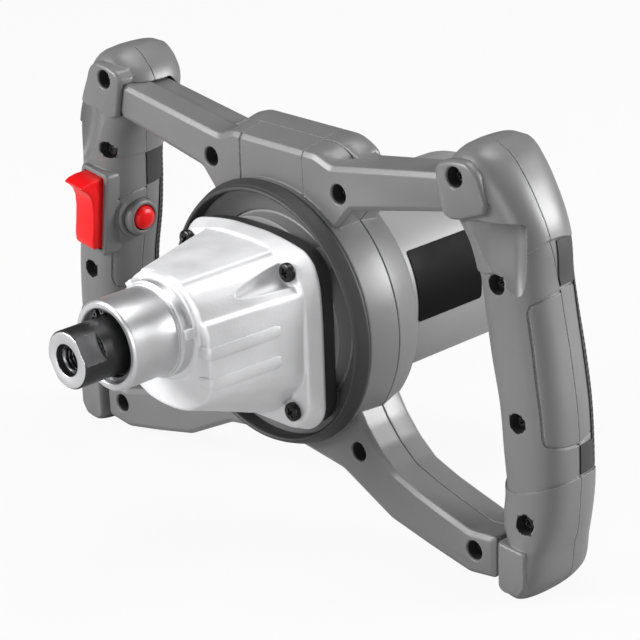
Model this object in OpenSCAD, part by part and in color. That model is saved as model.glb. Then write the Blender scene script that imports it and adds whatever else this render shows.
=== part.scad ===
// Two-handled paddle mixer: a geared motor carried in a frame between two closed grips.
// X runs across the handles, the spindle points along -Y, and Z is up with the feet at 0.

/* [Spindle] */
// Diameter of the nose collar, the standard clamping neck
collar_d = 43; // [42:0.5:44]
// Distance that the collar stands in front of the gear housing
collar_l = 34.4; // [30:0.2:40]
// Thread size bored in the spindle
thread_d = 14; // [12:1:16]
// Depth of the threaded bore
thread_depth = 24; // [18:1:28]
// Diameter of the spindle head
spindle_d = 27.6; // [26:0.2:29]
// Distance across the two wrench flats
flats_w = 24; // [22:0.5:25]
// Distance that the head stands out of the collar
head_l = 22; // [18:0.5:26]
// Length of the wrench flats
flats_l = 12; // [9:0.5:14]

/* [Gearing] */
// Module of the fast gear pair
fast_module = 0.8; // [0.75:0.05:0.85]
// Teeth on the motor pinion
motor_teeth = 8; // [8:1:9]
// Teeth on the lay gear
lay_teeth = 36; // [34:1:37]
// Module of the slow gear pair
slow_module = 1.25; // [1.2:0.05:1.3]
// Teeth on the lay pinion
lay_pinion_teeth = 8; // [8:1:9]
// Teeth on the spindle gear
spindle_teeth = 42; // [40:1:42]
// Width of the fast lay gear
fast_w = 8; // [6:0.5:9]
// Width of the slow spindle gear
slow_w = 13; // [10:0.5:14]

/* [Gear housing] */
// Width and height of the flange
flange_w = 95; // [93:0.5:97]
// Thickness of the flange
flange_t = 9; // [7:0.5:11]
// Length of the body in front of the flange
body_l = 49; // [47:0.5:52]
// Spacing of the flange screws, across and up
flange_pitch = 70; // [67:0.5:72]
// Wall of the aluminium casting
cast_wall = 3.2; // [2.5:0.1:3.6]

/* [Frame] */
// Radius of the hub at its seam
hub_r = 67; // [65.5:0.5:69]
// Depth from the hub front to the seam between the shells
front_depth = 18; // [16:0.5:20]
// Depth of the rear shell behind the seam
rear_depth = 19; // [17:0.5:22]
// Step from the hub's radius in to the rim of the guard ring
guard_step = 3; // [2:0.5:4]
// Depth of the guard ring
guard_l = 8; // [6:0.5:9]
// Wall of the moulded shells
shell_wall = 3.2; // [2.6:0.1:3.6]

/* [Handles] */
// Distance from the middle to the axis of each grip
grip_reach = 150; // [147:0.5:155]
// Width of a grip
grip_w = 37; // [35:0.5:40]
// Depth of a grip in front of its seam
grip_front = 17; // [15.5:0.5:19]
// Depth of a grip behind its seam
grip_back = 25; // [23:0.5:27]
// Height of the motor axis above the feet
axis_h = 102; // [100:0.5:108]
// Height of the handle screws above the motor axis
boss_h = 93.5; // [92:0.5:97]

/* [Motor] */
// Outer diameter of the motor housing
motor_d = 97; // [95:0.5:99]
// Distance from the hub front to the back of the end cap
motor_l = 151; // [148:1:156]
// Diameter of the armature core
core_d = 46; // [42:0.5:48]
// Length of the armature core
core_l = 46; // [42:1:48]

/* [Controls] */
// Width of the trigger
trigger_w = 15; // [13:0.5:16]
// Height of the trigger
trigger_h = 40; // [36:0.5:42]
// Travel of the trigger
trigger_travel = 6; // [4:0.5:7]
// Diameter of the lock button
button_d = 12.6; // [11:0.2:13.4]
// Travel of the lock button
button_travel = 3; // [2:0.25:3.5]

/* [Hidden] */
$fn = 64;

// Clearances
run_gap = 0.05;
slide_gap = 0.3;
seat_gap = 0.1;
far = 400;

// Gear train: the lay shaft lies below the motor axis and the spindle above it
fast_centres = fast_module * (motor_teeth + lay_teeth) / 2;
slow_centres = slow_module * (lay_pinion_teeth + spindle_teeth) / 2;
lay_z = -fast_centres;
spindle_z = lay_z + slow_centres;
pinion_shift = 0.53;
tooth_play = 0.12;
tip_trim = 0.25;
pressure = 20;

// Places along the motor axis, from the joint face of the gear housing at 0
flange_back = -4;
flange_front = flange_back - flange_t;
body_front = flange_front - body_l + 1;
step_l = 7;
step_r = collar_d / 2 + 1.7;
collar_front = body_front - collar_l;
head_front = collar_front - head_l;
plate_back = 4;
hub_front = 8;
seam_y = hub_front + front_depth;
hub_back = seam_y + rear_depth;
cap_back = hub_front + motor_l;

// Spindle and its bearing seats
nose_or = 17.5;
nose_ir = 8.5;
nose_w = 10;
circlip_t = 1.2;
circlip_front = collar_front + 2.8;
seal_front = circlip_front + circlip_t + 0.1;
seal_w = 3.6;
nose_front = seal_front + seal_w + 0.4;
nose_back = nose_front + nose_w;
shaft_r = 8;
journal_r = 4;
bush_r = 6;
bush_w = 7;
fast_front = flange_back - 3 - fast_w;
slow_back = fast_front - 4;
slow_front = slow_back - slow_w;
lay_pinion_front = slow_front - 1.5;
lay_bush_front = lay_pinion_front - 2 - bush_w;
lay_shaft_r = 4.2;
flat_turn = 30.8;

// Housing and frame
screw_xy = flange_pitch / 2;
frame_face = 11;
chamfer = 2.5;
guard_r = hub_r - guard_step;
guard_wall = 3;
guard_gap = 1.33;
hub_wall = 4.6;
hub_inner = hub_r - hub_wall;
motor_r = motor_d / 2;
guide_r = hub_inner - 5.4;
mouth_gap = 1.5;
mouth_r = motor_r + mouth_gap;
spot_depth = 0.3;
post_r = 6;
post_gap = 1;
motor_wall = 3;
motor_inner = motor_r - motor_wall;

// Armature places
front_brg_r = 13;
front_brg_w = 8;
rear_brg_r = 11;
rear_brg_w = 7;
fan_front = 23;
fan_w = 15;
core_front = 50;
core_back = core_front + core_l;
comm_front = core_back + 11;
comm_l = 14;
comm_r = 14;
cap_l = 25;
cap_front = cap_back - cap_l;
rear_brg_front = cap_front - 9;
arm_shaft_r = 5;

// Screws that close the shells
recess_r = 4.7;
screw_r = 1.9;
screw_head_r = 3.6;
screw_head_t = 2.4;
screw_reach = 14;
pillar_r = 6.4;

// Handles
handle_seam = 31;
grip_front_y = handle_seam - grip_front;
lean = 8;
trigger_x = -(grip_reach - 10);
trigger_z = 19.5;
trigger_face = grip_front_y - 8.5;
button_y = 30.5;
button_z = 14;
button_tip = -(grip_reach - 30);

module place() {
    translate([0, -(head_front + cap_back) / 2, axis_h]) children();
}

// A solid of revolution about the motor's line, at height h, from points [radius, y]
module turned(points, h = 0) {
    translate([0, 0, h]) rotate([-90, 0, 0]) rotate_extrude() polygon(points);
}

module rod(r, y0, y1, x = 0, z = 0) {
    translate([x, y0, z]) rotate([-90, 0, 0]) cylinder(r = r, h = y1 - y0);
}

module tube(ro, ri, y0, y1, x = 0, z = 0) {
    difference() {
        rod(ro, y0, y1, x, z);
        rod(ri, y0 - 1, y1 + 1, x, z);
    }
}

// A flat outline in X and Z, drawn out from y0 to y1
module slab(y0, y1) {
    translate([0, y1, 0]) rotate([90, 0, 0]) linear_extrude(y1 - y0) children();
}

// Gear teeth with true involute flanks
function involute(r, rb) = sqrt(max(0, pow(r / rb, 2) - 1)) * 180 / PI - acos(min(1, rb / r));
function tooth_half(r, rp, rb, teeth, shift, play) =
    (PI / 2 + 2 * shift * tan(pressure)) / teeth * 180 / PI - play / rp * 90 / PI
    + involute(rp, rb) - involute(r, rb);
function gear_points(teeth, m, shift, trim = 0) =
    let (
        rp = m * teeth / 2,
        rb = rp * cos(pressure),
        tip = rp + m * (1 + shift) - trim,
        root = rp - m * (1.25 - shift),
        low = max(rb, root) + 0.01,
        steps = 4,
        radii = [for (i = [0:steps]) low + (tip - low) * i / steps],
        pitch = 360 / teeth
    )
    [for (t = [0:teeth - 1]) each concat(
        [let (a = t * pitch - tooth_half(low, rp, rb, teeth, shift, tooth_play))
            [root * cos(a), root * sin(a)]],
        [for (i = [0:steps]) let (a = t * pitch - tooth_half(radii[i], rp, rb, teeth, shift, tooth_play))
            [radii[i] * cos(a), radii[i] * sin(a)]],
        [for (i = [steps:-1:0]) let (a = t * pitch + tooth_half(radii[i], rp, rb, teeth, shift, tooth_play))
            [radii[i] * cos(a), radii[i] * sin(a)]],
        [let (a = t * pitch + tooth_half(low, rp, rb, teeth, shift, tooth_play))
            [root * cos(a), root * sin(a)]]
    )];

module gear(teeth, m, shift, y0, y1, h, turn = 0, trim = 0) {
    translate([0, 0, h]) slab(y0, y1) rotate(turn) polygon(gear_points(teeth, m, shift, trim));
}

// A polygon moved inwards by d along each edge, its points in anticlockwise order
function unit(v) = v / norm(v);
function inset(p, d) = [for (i = [0:len(p) - 1]) let (
        a = p[(i + len(p) - 1) % len(p)],
        b = p[i],
        c = p[(i + 1) % len(p)],
        e = unit(b - a),
        f = unit(c - b),
        n1 = [-e[1], e[0]],
        n2 = [-f[1], f[0]],
        s = unit(n1 + n2)
    ) b + s * d / (s * n1)];

// A polygon of corners [x, z, radius] with every corner rounded
function rounded(c, n = 3) = [for (i = [0:len(c) - 1]) let (
        a = c[(i + len(c) - 1) % len(c)],
        b = c[i],
        d = c[(i + 1) % len(c)],
        p = [b[0], b[1]],
        u = unit([a[0], a[1]] - p),
        v = unit([d[0], d[1]] - p),
        half = acos(u * v) / 2,
        mid = p + unit(u + v) * b[2] / sin(half),
        s = p + u * b[2] / tan(half) - mid,
        a0 = atan2(s[1], s[0])
    ) each [for (k = [0:n]) let (t = a0 + (180 - 2 * half) * k / n) mid + b[2] * [cos(t), sin(t)]]];

// Corners of the right half, from the bottom up, joined with their mirror image
function mirrored(c) = concat(c, [for (i = [len(c) - 1:-1:0]) [-c[i][0], c[i][1], c[i][2]]]);

// A closed form through rings of points in X and Z, one ring at each depth
module lofted(rings, depths) {
    n = len(rings[0]);
    m = len(rings);
    polyhedron(
        points = [for (k = [0:m - 1]) each [for (q = rings[k]) [q[0], depths[k], q[1]]]],
        faces = concat(
            [[for (i = [n - 1:-1:0]) i]],
            [[for (i = [0:n - 1]) (m - 1) * n + i]],
            [for (k = [0:m - 2], i = [0:n - 1]) let (j = (i + 1) % n)
                each [[k * n + i, k * n + j, (k + 1) * n + j],
                    [k * n + i, (k + 1) * n + j, (k + 1) * n + i]]]
        )
    );
}

// A plate with the outline p in X and Z from y0 to y1, with its front and back edges bevelled.
// Where p isn't convex, cells lists the corners of each convex part of it.
module bevelled(p, y0, y1, front, back, cells = []) {
    n = len(p);
    flat = len(cells) > 0 ? cells : [[for (i = [0:n - 1]) i]];
    rings = concat(
        [[for (q = inset(p, front)) [q[0], y0, q[1]]]],
        front > 0 ? [[for (q = p) [q[0], y0 + front * 0.6, q[1]]]] : [],
        back > 0 ? [[for (q = p) [q[0], y1 - back, q[1]]]] : [],
        [[for (q = inset(p, back)) [q[0], y1, q[1]]]]
    );
    m = len(rings);
    polyhedron(
        points = [for (r = rings) each r],
        faces = concat(
            [for (c = flat) [for (i = [len(c) - 1:-1:0]) c[i]]],
            [for (c = flat) [for (i = c) (m - 1) * n + i]],
            [for (k = [0:m - 2], i = [0:n - 1]) let (j = (i + 1) % n)
                [k * n + i, k * n + j, (k + 1) * n + j, (k + 1) * n + i]]
        )
    );
}

module both_sides() {
    children();
    mirror([1, 0, 0]) children();
}

// Rotating parts of the gear train

module spindle() {
    color("dimgray") place() difference() {
        union() {
            turned([[0, head_front], [spindle_d / 2 - 0.6, head_front], [spindle_d / 2, head_front + 0.6],
                [spindle_d / 2, nose_front - 2], [nose_ir + 2.5, nose_front - 2],
                [nose_ir + 2.5, nose_front - slide_gap], [nose_ir - run_gap, nose_front - slide_gap],
                [nose_ir - run_gap, nose_back], [shaft_r, nose_back], [shaft_r, slow_back + 2],
                [bush_r, slow_back + 2], [bush_r, flange_back - 1], [journal_r - run_gap, flange_back - 1],
                [journal_r - run_gap, plate_back - 1], [0, plate_back - 1]], spindle_z);
        }
        translate([0, 0, spindle_z]) rotate([0, -flat_turn, 0]) for (s = [0, 180]) rotate([0, s, 0])
            translate([flats_w / 2, head_front - 1, -spindle_d])
            cube([spindle_d, flats_l + 1, spindle_d * 2]);
        rod(thread_d / 2 - 1, head_front - 1, head_front + thread_depth, 0, spindle_z);
        turned([[0, head_front - 1], [thread_d / 2 + 1.7, head_front - 1],
            [thread_d / 2 + 0.7, head_front], [thread_d / 2 + 0.7, head_front + 2.2],
            [thread_d / 2 - 1, head_front + 3.8], [0, head_front + 3.8]], spindle_z);
    }
}

module spindle_gear() {
    color("silver") place() difference() {
        union() {
            gear(spindle_teeth, slow_module, -pinion_shift, slow_front, slow_back, spindle_z,
                90, 0.2);
            rod(shaft_r + 4, slow_back - 1, slow_back + 2, 0, spindle_z);
        }
        rod(shaft_r + seat_gap / 5, slow_front - 4, slow_back + 4, 0, spindle_z);
        for (a = [0:60:300]) translate([0, 0, spindle_z]) rotate([0, a, 0])
            rod(3.4, slow_front - 1, slow_back + 1, shaft_r + 8.5, 0);
    }
}

module ball_bearing(ro, ri, y0, y1, z = 0) {
    land = (ro - ri) * 0.26;
    mid = (y0 + y1) / 2;
    ball = (ro - ri) * 0.27;
    pitch_r = (ro + ri) / 2;
    count = floor(PI * pitch_r / (ball * 1.25));
    difference() {
        union() {
            tube(ro, ro - land, y0, y1, 0, z);
            tube(ri + land, ri, y0, y1, 0, z);
        }
        translate([0, mid, z]) rotate([-90, 0, 0]) rotate_extrude()
            translate([pitch_r, 0]) circle(r = ball + 0.02);
    }
    for (i = [0:count - 1]) translate([0, mid, z]) rotate([0, 360 * i / count, 0])
        translate([pitch_r, 0, 0]) sphere(r = ball - 0.03);
}

module nose_bearing() {
    color("lightgray") place()
        ball_bearing(nose_or - seat_gap / 5, nose_ir, nose_front, nose_back, spindle_z);
}

module nose_circlip() {
    color("gray") place() difference() {
        union() {
            tube(nose_or + 0.9, nose_or - 2, circlip_front, circlip_front + circlip_t, 0, spindle_z);
            for (s = [-1, 1]) translate([0, 0, spindle_z]) rotate([0, -118 + s * 11, 0])
                rod(1.5, circlip_front, circlip_front + circlip_t, nose_or - 1.9, 0);
        }
        translate([0, 0, spindle_z]) {
            rotate([0, -118, 0]) translate([spindle_d / 2 - 2, circlip_front - 1, -1.6])
                cube([8, circlip_t + 2, 3.2]);
            for (s = [-1, 1]) rotate([0, -118 + s * 11, 0])
                rod(0.7, circlip_front - 1, circlip_front + circlip_t + 1, nose_or - 1.9, 0);
            rod(spindle_d / 2 + 0.5, circlip_front - 1, circlip_front + circlip_t + 1);
        }
    }
}

module dust_seal() {
    color("black") place() difference() {
        rod(nose_or - seat_gap / 5, seal_front, seal_front + seal_w, 0, spindle_z);
        rod(spindle_d / 2 + run_gap, seal_front - 1, seal_front + seal_w + 1, 0, spindle_z);
        tube(nose_or - 1.2, spindle_d / 2 + 1.1, seal_front - 1, seal_front + 1.2, 0, spindle_z);
    }
}

module spindle_rear_bush() {
    color("darkgoldenrod") place()
        tube(bush_r, journal_r, plate_back - 1.4 - bush_w + 1, plate_back - 1.4, 0, spindle_z);
}

module lay_shaft() {
    color("slategray") place() {
        rod(journal_r - run_gap, lay_bush_front + 0.5, lay_pinion_front + 2, 0, lay_z);
        gear(lay_pinion_teeth, slow_module, pinion_shift, lay_pinion_front, slow_back + 1, lay_z,
            180 + 90 + 180 / lay_pinion_teeth, tip_trim * slow_module);
        turned([[0, slow_back], [lay_shaft_r + 3.4, slow_back], [lay_shaft_r + 3.4, slow_back + 2],
            [lay_shaft_r, slow_back + 2], [lay_shaft_r, flange_back - 1],
            [journal_r - run_gap, flange_back - 1], [journal_r - run_gap, plate_back - 1],
            [0, plate_back - 1]], lay_z);
    }
}

module lay_gear() {
    color("silver") place() difference() {
        union() {
            gear(lay_teeth, fast_module, -pinion_shift, fast_front, fast_front + fast_w, lay_z,
                90, 0.15);
            rod(lay_shaft_r + 3, fast_front + 1, flange_back - 1.5, 0, lay_z);
        }
        rod(lay_shaft_r + seat_gap / 5, fast_front - 1, flange_back, 0, lay_z);
    }
}

module lay_front_bush() {
    color("darkgoldenrod") place()
        tube(bush_r, journal_r, lay_bush_front, lay_bush_front + bush_w, 0, lay_z);
}

module lay_rear_bush() {
    color("darkgoldenrod") place()
        tube(bush_r, journal_r, plate_back - 1.4 - bush_w + 1, plate_back - 1.4, 0, lay_z);
}

// Gear housing

// Stations of the casting: depth, then the corners of its right half from the bottom up
flange_e = flange_w / 2;
flange_half = [[flange_e - 10, -flange_e, 12], [flange_e, 10 - flange_e, 12], [flange_e + 0.2, -12, 60],
    [flange_e + 0.2, 12, 60], [flange_e, flange_e - 10, 12], [flange_e - 10, flange_e, 12]];
body_rear = [[31, -46, 6], [39, -25.5, 5], [44, -13, 5], [44, 13, 5], [39, 25.5, 5], [31, 46, 6]];
body_steps = [
    [body_front, [[12, -25, 6], [25, -17, 6], [29.8, -11, 6], [29.8, 9, 6], [26.5, 27, 10], [13, 40.2, 18]]],
    [body_front + 2.5, [[13, -27, 6], [27, -18.5, 6], [32, -12, 6], [32, 9.5, 6], [28.5, 28, 10],
        [14, 42.3, 18]]],
    [flange_front - 7, [[30, -44.5, 6], [38, -24.5, 5], [42.5, -12, 5], [42.5, 12, 5], [38, 24.5, 5],
        [30, 45, 6]]],
    [flange_front, body_rear],
    [flange_front + 0.1, [for (c = flange_half) [c[0] - 1, c[1] - sign(c[1]), c[2]]]],
    [flange_front + 1.1, flange_half],
    [flange_back, flange_half]
];
gear_room = [[20, -34.8], [35.3, -13], [35.3, 15.5], [17, 40.7]];

module gear_housing() {
    color("gainsboro") place() difference() {
        union() {
            lofted([for (b = body_steps) rounded(mirrored(b[1]))], [for (b = body_steps) b[0]]);
            turned([[0, body_front + 3], [step_r, body_front + 3], [step_r, body_front - step_l],
                [step_r - 0.5, body_front - step_l - 0.5], [collar_d / 2, body_front - step_l - 0.5],
                [collar_d / 2, collar_front + 1], [collar_d / 2 - 1, collar_front], [0, collar_front]],
                spindle_z);
            for (a = [8, 128, 248]) translate([0, 0, spindle_z]) rotate([0, -a, 0])
                translate([step_r - 1, body_front - step_l, -2.5]) cube([3, step_l + 2, 5]);
        }
        slab(slow_front - 2, flange_back + 1)
            polygon([for (q = mirrored(gear_room)) [q[0], q[1]]]);
        rod(nose_or, collar_front - 1, nose_back, 0, spindle_z);
        rod(shaft_r + 2, nose_back - 1, slow_front - 1, 0, spindle_z);
        rod(nose_or + 1, circlip_front - 0.1, circlip_front + circlip_t + 0.1, 0, spindle_z);
        rod(bush_r, lay_bush_front, slow_front - 1, 0, lay_z);
        for (x = [-1, 1], z = [-1, 1]) {
            rod(6, body_front - 1, flange_front + spot_depth, x * screw_xy, z * screw_xy);
            rod(2.3, flange_front - 1, flange_back + 1, x * screw_xy, z * screw_xy);
        }
    }
}

module bearing_plate() {
    color("dimgray") place() difference() {
        union() {
            // Its corners are cut round so that they stay inside the guard ring by guard_gap
            intersection() {
                box(1.5 - flange_e, flange_e - 1.5, flange_back, plate_back, 1.5 - flange_e, flange_e - 1.5);
                rod(guard_r - guard_wall - guard_gap, flange_back - 5, plate_back + 5);
            }
            rod(front_brg_r + 3, plate_back - 1, plate_back + front_brg_w + 1);
        }
        rod(arm_shaft_r + 1, flange_back - 1, plate_back + 20);
        rod(front_brg_r, plate_back + 1, plate_back + front_brg_w + 2);
        for (z = [spindle_z, lay_z]) {
            rod(bush_r, plate_back - 1.4 - bush_w + 0.9, plate_back - 1.4, 0, z);
            rod(bush_r + 0.2, flange_back - 1, plate_back - 1.4 - bush_w + 1, 0, z);
            rod(journal_r + 0.2, flange_back, plate_back - 1, 0, z);
        }
        for (x = [-1, 1], z = [-1, 1])
            rod(2.3, flange_back - 1, plate_back + 1, x * screw_xy, z * screw_xy);
    }
}

module cross_head(head_r, head_t, shank_r, y0, y1, x, z) {
    difference() {
        union() {
            rod(head_r, y0, y0 + head_t, x, z);
            rod(shank_r, y0 + head_t, y1, x, z);
        }
        translate([x, y0, z]) for (a = [0, 90]) rotate([0, a, 0])
            translate([-head_r * 0.55, -1, -head_r * 0.12])
            cube([head_r * 1.1, 1 + head_t * 0.5, head_r * 0.24]);
    }
}

module flange_screws() {
    color("black") place() for (x = [-1, 1], z = [-1, 1])
        cross_head(4.6, 3.4, 2.2, flange_front + spot_depth - 3.4, plate_back + 14,
            x * screw_xy, z * screw_xy);
}

module guard_ring() {
    color("darkslategray") place() turned([[guard_r - guard_wall, 0.6], [guard_r - guard_wall + 0.8, 0],
        [guard_r - 0.6, 0], [guard_r, 0.6], [guard_r + 0.4, 2], [hub_r - 0.6, guard_l - 1.5],
        [hub_r - 0.6, guard_l - 0.3], [guard_r - guard_wall, guard_l - 0.3]]);
}

// Frame: a hub round the motor, a beam over it and two arms below it, in two shells

beam_lift = boss_h - 9.2;
beam_end = grip_reach - 45;
tongue_end = grip_reach - 24;
arm_end = grip_reach - 10.5;
arm_tongue_end = grip_reach + 2;
arm_lower = [[6, 6.2 - hub_r], [20, -hub_r - 1.6], [40.4, -71.6], [72.3, -87.7], [98, -93.6],
    [123, -98.6], [arm_end, -96.3]];
arm_upper = [[arm_end, -75.5], [123.3, -77], [104.5, -72], [91.7, -68.4], [76, -62.6], [65.9, -54.3],
    [58, -45], [50, -32]];
beam_lower = [[45, 0], [42, 40], [41, 49.5], [52, 61.8], [beam_end, beam_lift - 10.6]];
front_top = [[beam_end, beam_lift + 7.4], [38.5, beam_lift - 3.5], [28.5, beam_lift]];
rear_top = [[beam_end, beam_lift + 6], [44, beam_lift - 3.6], [34, beam_lift + 1.4]];
beam_tongue = [beam_end - 1, beam_lift - 6, tongue_end, beam_lift + 4];
arm_tongue = [arm_end - 1, -92, arm_tongue_end, -80];
tongue_front = frame_face + 4;
tongue_back = hub_back - 7;
rear_bevel = 6;
beam_screw = [44, 68.2];
arm_inner_screw = [52.3, -59.2];
arm_outer_screw = [126.7, -86];
frame_screw_places = [beam_screw, arm_inner_screw, arm_outer_screw];

// The whole outline of the frame in X and Z with the given top edge
function frame_outline(top) =
    [for (q = mirrored(concat(arm_lower, arm_upper, beam_lower, top))) [q[0], q[1]]];

// Its convex parts: those of the right half with their mirror images, then those across the middle
outline_n = 46;
right_cells = [[5, 6, 7, 8], [4, 5, 8, 9], [3, 4, 9, 10], [3, 10, 11], [2, 3, 11, 12], [2, 12, 13],
    [1, 2, 13, 14], [0, 1, 14], [18, 19, 20, 21]];
middle_cells = [[0, 14, 15], [15, 16], [16, 17], [17, 18, 21, 22]];
function other_side(c) = [for (i = [len(c) - 1:-1:0]) outline_n - 1 - c[i]];
frame_cells = concat(right_cells, [for (c = right_cells) other_side(c)],
    [for (c = middle_cells) concat(c, other_side(c))]);

module box(x0, x1, y0, y1, z0, z1) {
    translate([x0, y0, z0]) cube([x1 - x0, y1 - y0, z1 - z0]);
}

// The tongue t = [x0, z0, x1, z1] of the frame between two depths, grown by g
module tongue(t, y0, y1, g = 0) {
    box(t[0], t[2] + g, y0 - g, y1 + g, t[1] - g, t[3] + g);
}

// The hollows of the beam and the arms outside the hub
beam_room = [[52, 61.8], [beam_end, beam_lift - 10.6], [beam_end, beam_lift + 5], [52, beam_lift - 3]];
arm_room = [[60, -81.5], [72.3, -87.7], [98, -93.6], [118.5, -97.7], [118.5, -76], [104.5, -72],
    [91.7, -68.4], [76, -62.6], [64, -53.5]];
module frame_hollow(y0, y1) {
    both_sides() for (p = [beam_room, arm_room])
        slab(y0, y1) polygon(inset(p, shell_wall));
}

// Recesses and bores for the screws that hold the two halves of the frame together
module frame_bores(front) {
    both_sides() for (p = frame_screw_places) {
        if (front) {
            rod(recess_r, frame_face - 3, frame_face + 8, p[0], p[1]);
            rod(screw_r + 0.2, frame_face, seam_y + 6, p[0], p[1]);
        } else rod(screw_r + run_gap, seam_y - 6, seam_y + screw_reach, p[0], p[1]);
    }
}

module frame_front_shell() {
    color("gray") place() difference() {
        union() {
            bevelled(frame_outline(front_top), frame_face, seam_y + 1, chamfer, 0, frame_cells);
            both_sides() for (t = [beam_tongue, arm_tongue]) tongue(t, tongue_front, seam_y + 2);
            turned([[0, hub_front], [hub_r - 1.5, hub_front], [hub_r, seam_y], [hub_r, seam_y + 3],
                [0, seam_y + 3]]);
        }
        box(-far, far, seam_y, far, -far, far);
        frame_hollow(frame_face + shell_wall, seam_y + 5);
        turned([[0, hub_front - 1], [mouth_r, hub_front - 1], [mouth_r, hub_front + hub_wall],
            [hub_inner, hub_front + hub_wall], [hub_inner, seam_y + 7], [0, seam_y + 7]]);
        frame_bores(true);
        for (x = [-1, 1], z = [-1, 1])
            rod(post_r + post_gap, 0, seam_y - 5, x * screw_xy, z * screw_xy);
    }
}

module frame_rear_shell() {
    color("gray") place() difference() {
        union() {
            bevelled(frame_outline(rear_top), seam_y - 1, hub_back - 1, 0, rear_bevel, frame_cells);
            both_sides() for (t = [beam_tongue, arm_tongue]) tongue(t, seam_y - 2, tongue_back);
            turned([[0, seam_y - 3], [hub_r, seam_y - 3], [hub_r, seam_y], [hub_r - 4, hub_back - 3],
                [hub_r - 7, hub_back], [0, hub_back]]);
        }
        box(-far, far, -far, seam_y, -far, far);
        frame_hollow(seam_y - 5, hub_back - rear_bevel - shell_wall);
        turned([[0, seam_y - 7], [hub_inner, seam_y - 7], [hub_inner, hub_back - 4],
            [motor_r + slide_gap, hub_back - 4], [motor_r + slide_gap, hub_back + 1], [0, hub_back + 1]]);
        frame_bores(false);
    }
}

module frame_screws() {
    color("black") place() both_sides() for (p = frame_screw_places)
        cross_head(screw_head_r, screw_head_t, screw_r, frame_face + 8 - screw_head_t,
            seam_y + screw_reach - 1, p[0], p[1]);
}

// Handles: closed grips split at their seam and clamped over the ends of the frame

// Levels of a handle: height, shift of its middle, extra half width, front and back change
foot_z = -axis_h;
levels = [
    [foot_z, 1, -12.5, 2, -10],
    [foot_z + 3, 1.5, -10, 5, -6],
    [foot_z + 10, 3.6, -7.6, 5, -3],
    [foot_z + 24, 4.5, -6.7, 4, -2],
    [foot_z + 33, 2.5, -2.5, 2, -1],
    [foot_z + 48, 2.9, -1.6, 0, 0],
    [-35, 1.9, -0.4, 0, 0],
    [-12, -0.1, 0.1, 0, 0],
    [10, -4.2, 0.7, 0, 0],
    [30, -7.6, 0.6, 0, -1],
    [boss_h - 46, -10, 0.5, 1, -2],
    [boss_h - 31, -13, 2.5, 2, -2],
    [boss_h - 18, -19.2, 5.3, 3, -2],
    [boss_h - 5, -24.7, 3.7, 4, -2],
    [boss_h + 3, -26.2, -0.7, 3.5, -3],
    [boss_h + 9, -26.2, -6.2, 1, -5],
    [boss_h + 12, -26.6, -10.5, -3, -8],
    [boss_h + 13.5, -27, -14, -8, -13]
];
ring_n = 28;

function bulge(v) = sign(v) * pow(abs(v), 0.78);
function handle_ring(l, g) = [for (i = [0:ring_n - 1])
    let (t = 360 * i / ring_n, s = sin(t))
    [grip_reach + l[1] + (grip_w / 2 + l[2] - g) * bulge(cos(t)),
     handle_seam + (s < 0 ? grip_front + l[3] - g : grip_back + l[4] - g) * bulge(s),
     l[0]]];

// The handle's closed form on the right side, moved in by g
module handle_form(g = 0) {
    m = len(levels);
    lift = [for (k = [0:m - 1]) k == 0 ? g : k == m - 1 ? -g : 0];
    polyhedron(
        points = [for (k = [0:m - 1]) let (l = levels[k])
            each handle_ring([l[0] + lift[k], l[1], l[2], l[3], l[4]], g)],
        faces = concat(
            [[for (i = [0:ring_n - 1]) i]],
            [[for (i = [ring_n - 1:-1:0]) (m - 1) * ring_n + i]],
            [for (k = [0:m - 2], i = [0:ring_n - 1]) let (j = (i + 1) % ring_n)
                each [[k * ring_n + i, (k + 1) * ring_n + i, (k + 1) * ring_n + j],
                    [k * ring_n + i, (k + 1) * ring_n + j, k * ring_n + j]]]
        )
    );
}

ear_x = grip_reach - 30;
ear_face = handle_seam - 23;
ear_outline = [[ear_x - 12.5, boss_h + 1], [ear_x - 8, boss_h - 18.5], [ear_x - 3, boss_h - 20.5],
    [ear_x + 4, boss_h - 19], [ear_x + 17, boss_h - 14], [ear_x + 18, boss_h - 10],
    [ear_x + 12.5, boss_h + 4], [ear_x + 7, boss_h + 8.2], [ear_x - 2, boss_h + 7.7],
    [ear_x - 10, boss_h + 5]];
foot_outline = [[arm_end + 3, foot_z + 4], [arm_end + 6, foot_z + 1.6], [arm_end + 16, foot_z + 2],
    [arm_end + 20, foot_z + 8], [arm_end + 20, foot_z + 26], [arm_end + 3, foot_z + 27]];

handle_screw_places = [[ear_x, boss_h, ear_face], [grip_reach, -16.6, grip_front_y],
    [grip_reach + 6, -64, grip_front_y - 2.5]];
upper_screw_right = [grip_reach - 11, 46.7, grip_front_y - 0.5];
upper_screw_left = [grip_reach - 21, 53, grip_front_y - 1];

function places_of(upper) = concat(handle_screw_places, [upper]);

module handle_pillars(upper) {
    for (p = places_of(upper)) rod(pillar_r, p[2] - 1, handle_seam + grip_back, p[0], p[1]);
    for (t = [beam_tongue, arm_tongue]) tongue([t[0], t[1], t[2], t[3]], tongue_front, tongue_back,
        shell_wall);
}

module handle_bores(upper) {
    for (p = places_of(upper)) {
        rod(recess_r, p[2] - 4, p[2] + 7, p[0], p[1]);
        rod(screw_r + 0.2, p[2], handle_seam + 0.01, p[0], p[1]);
        rod(screw_r + run_gap, handle_seam, handle_seam + screw_reach, p[0], p[1]);
    }
}

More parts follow.
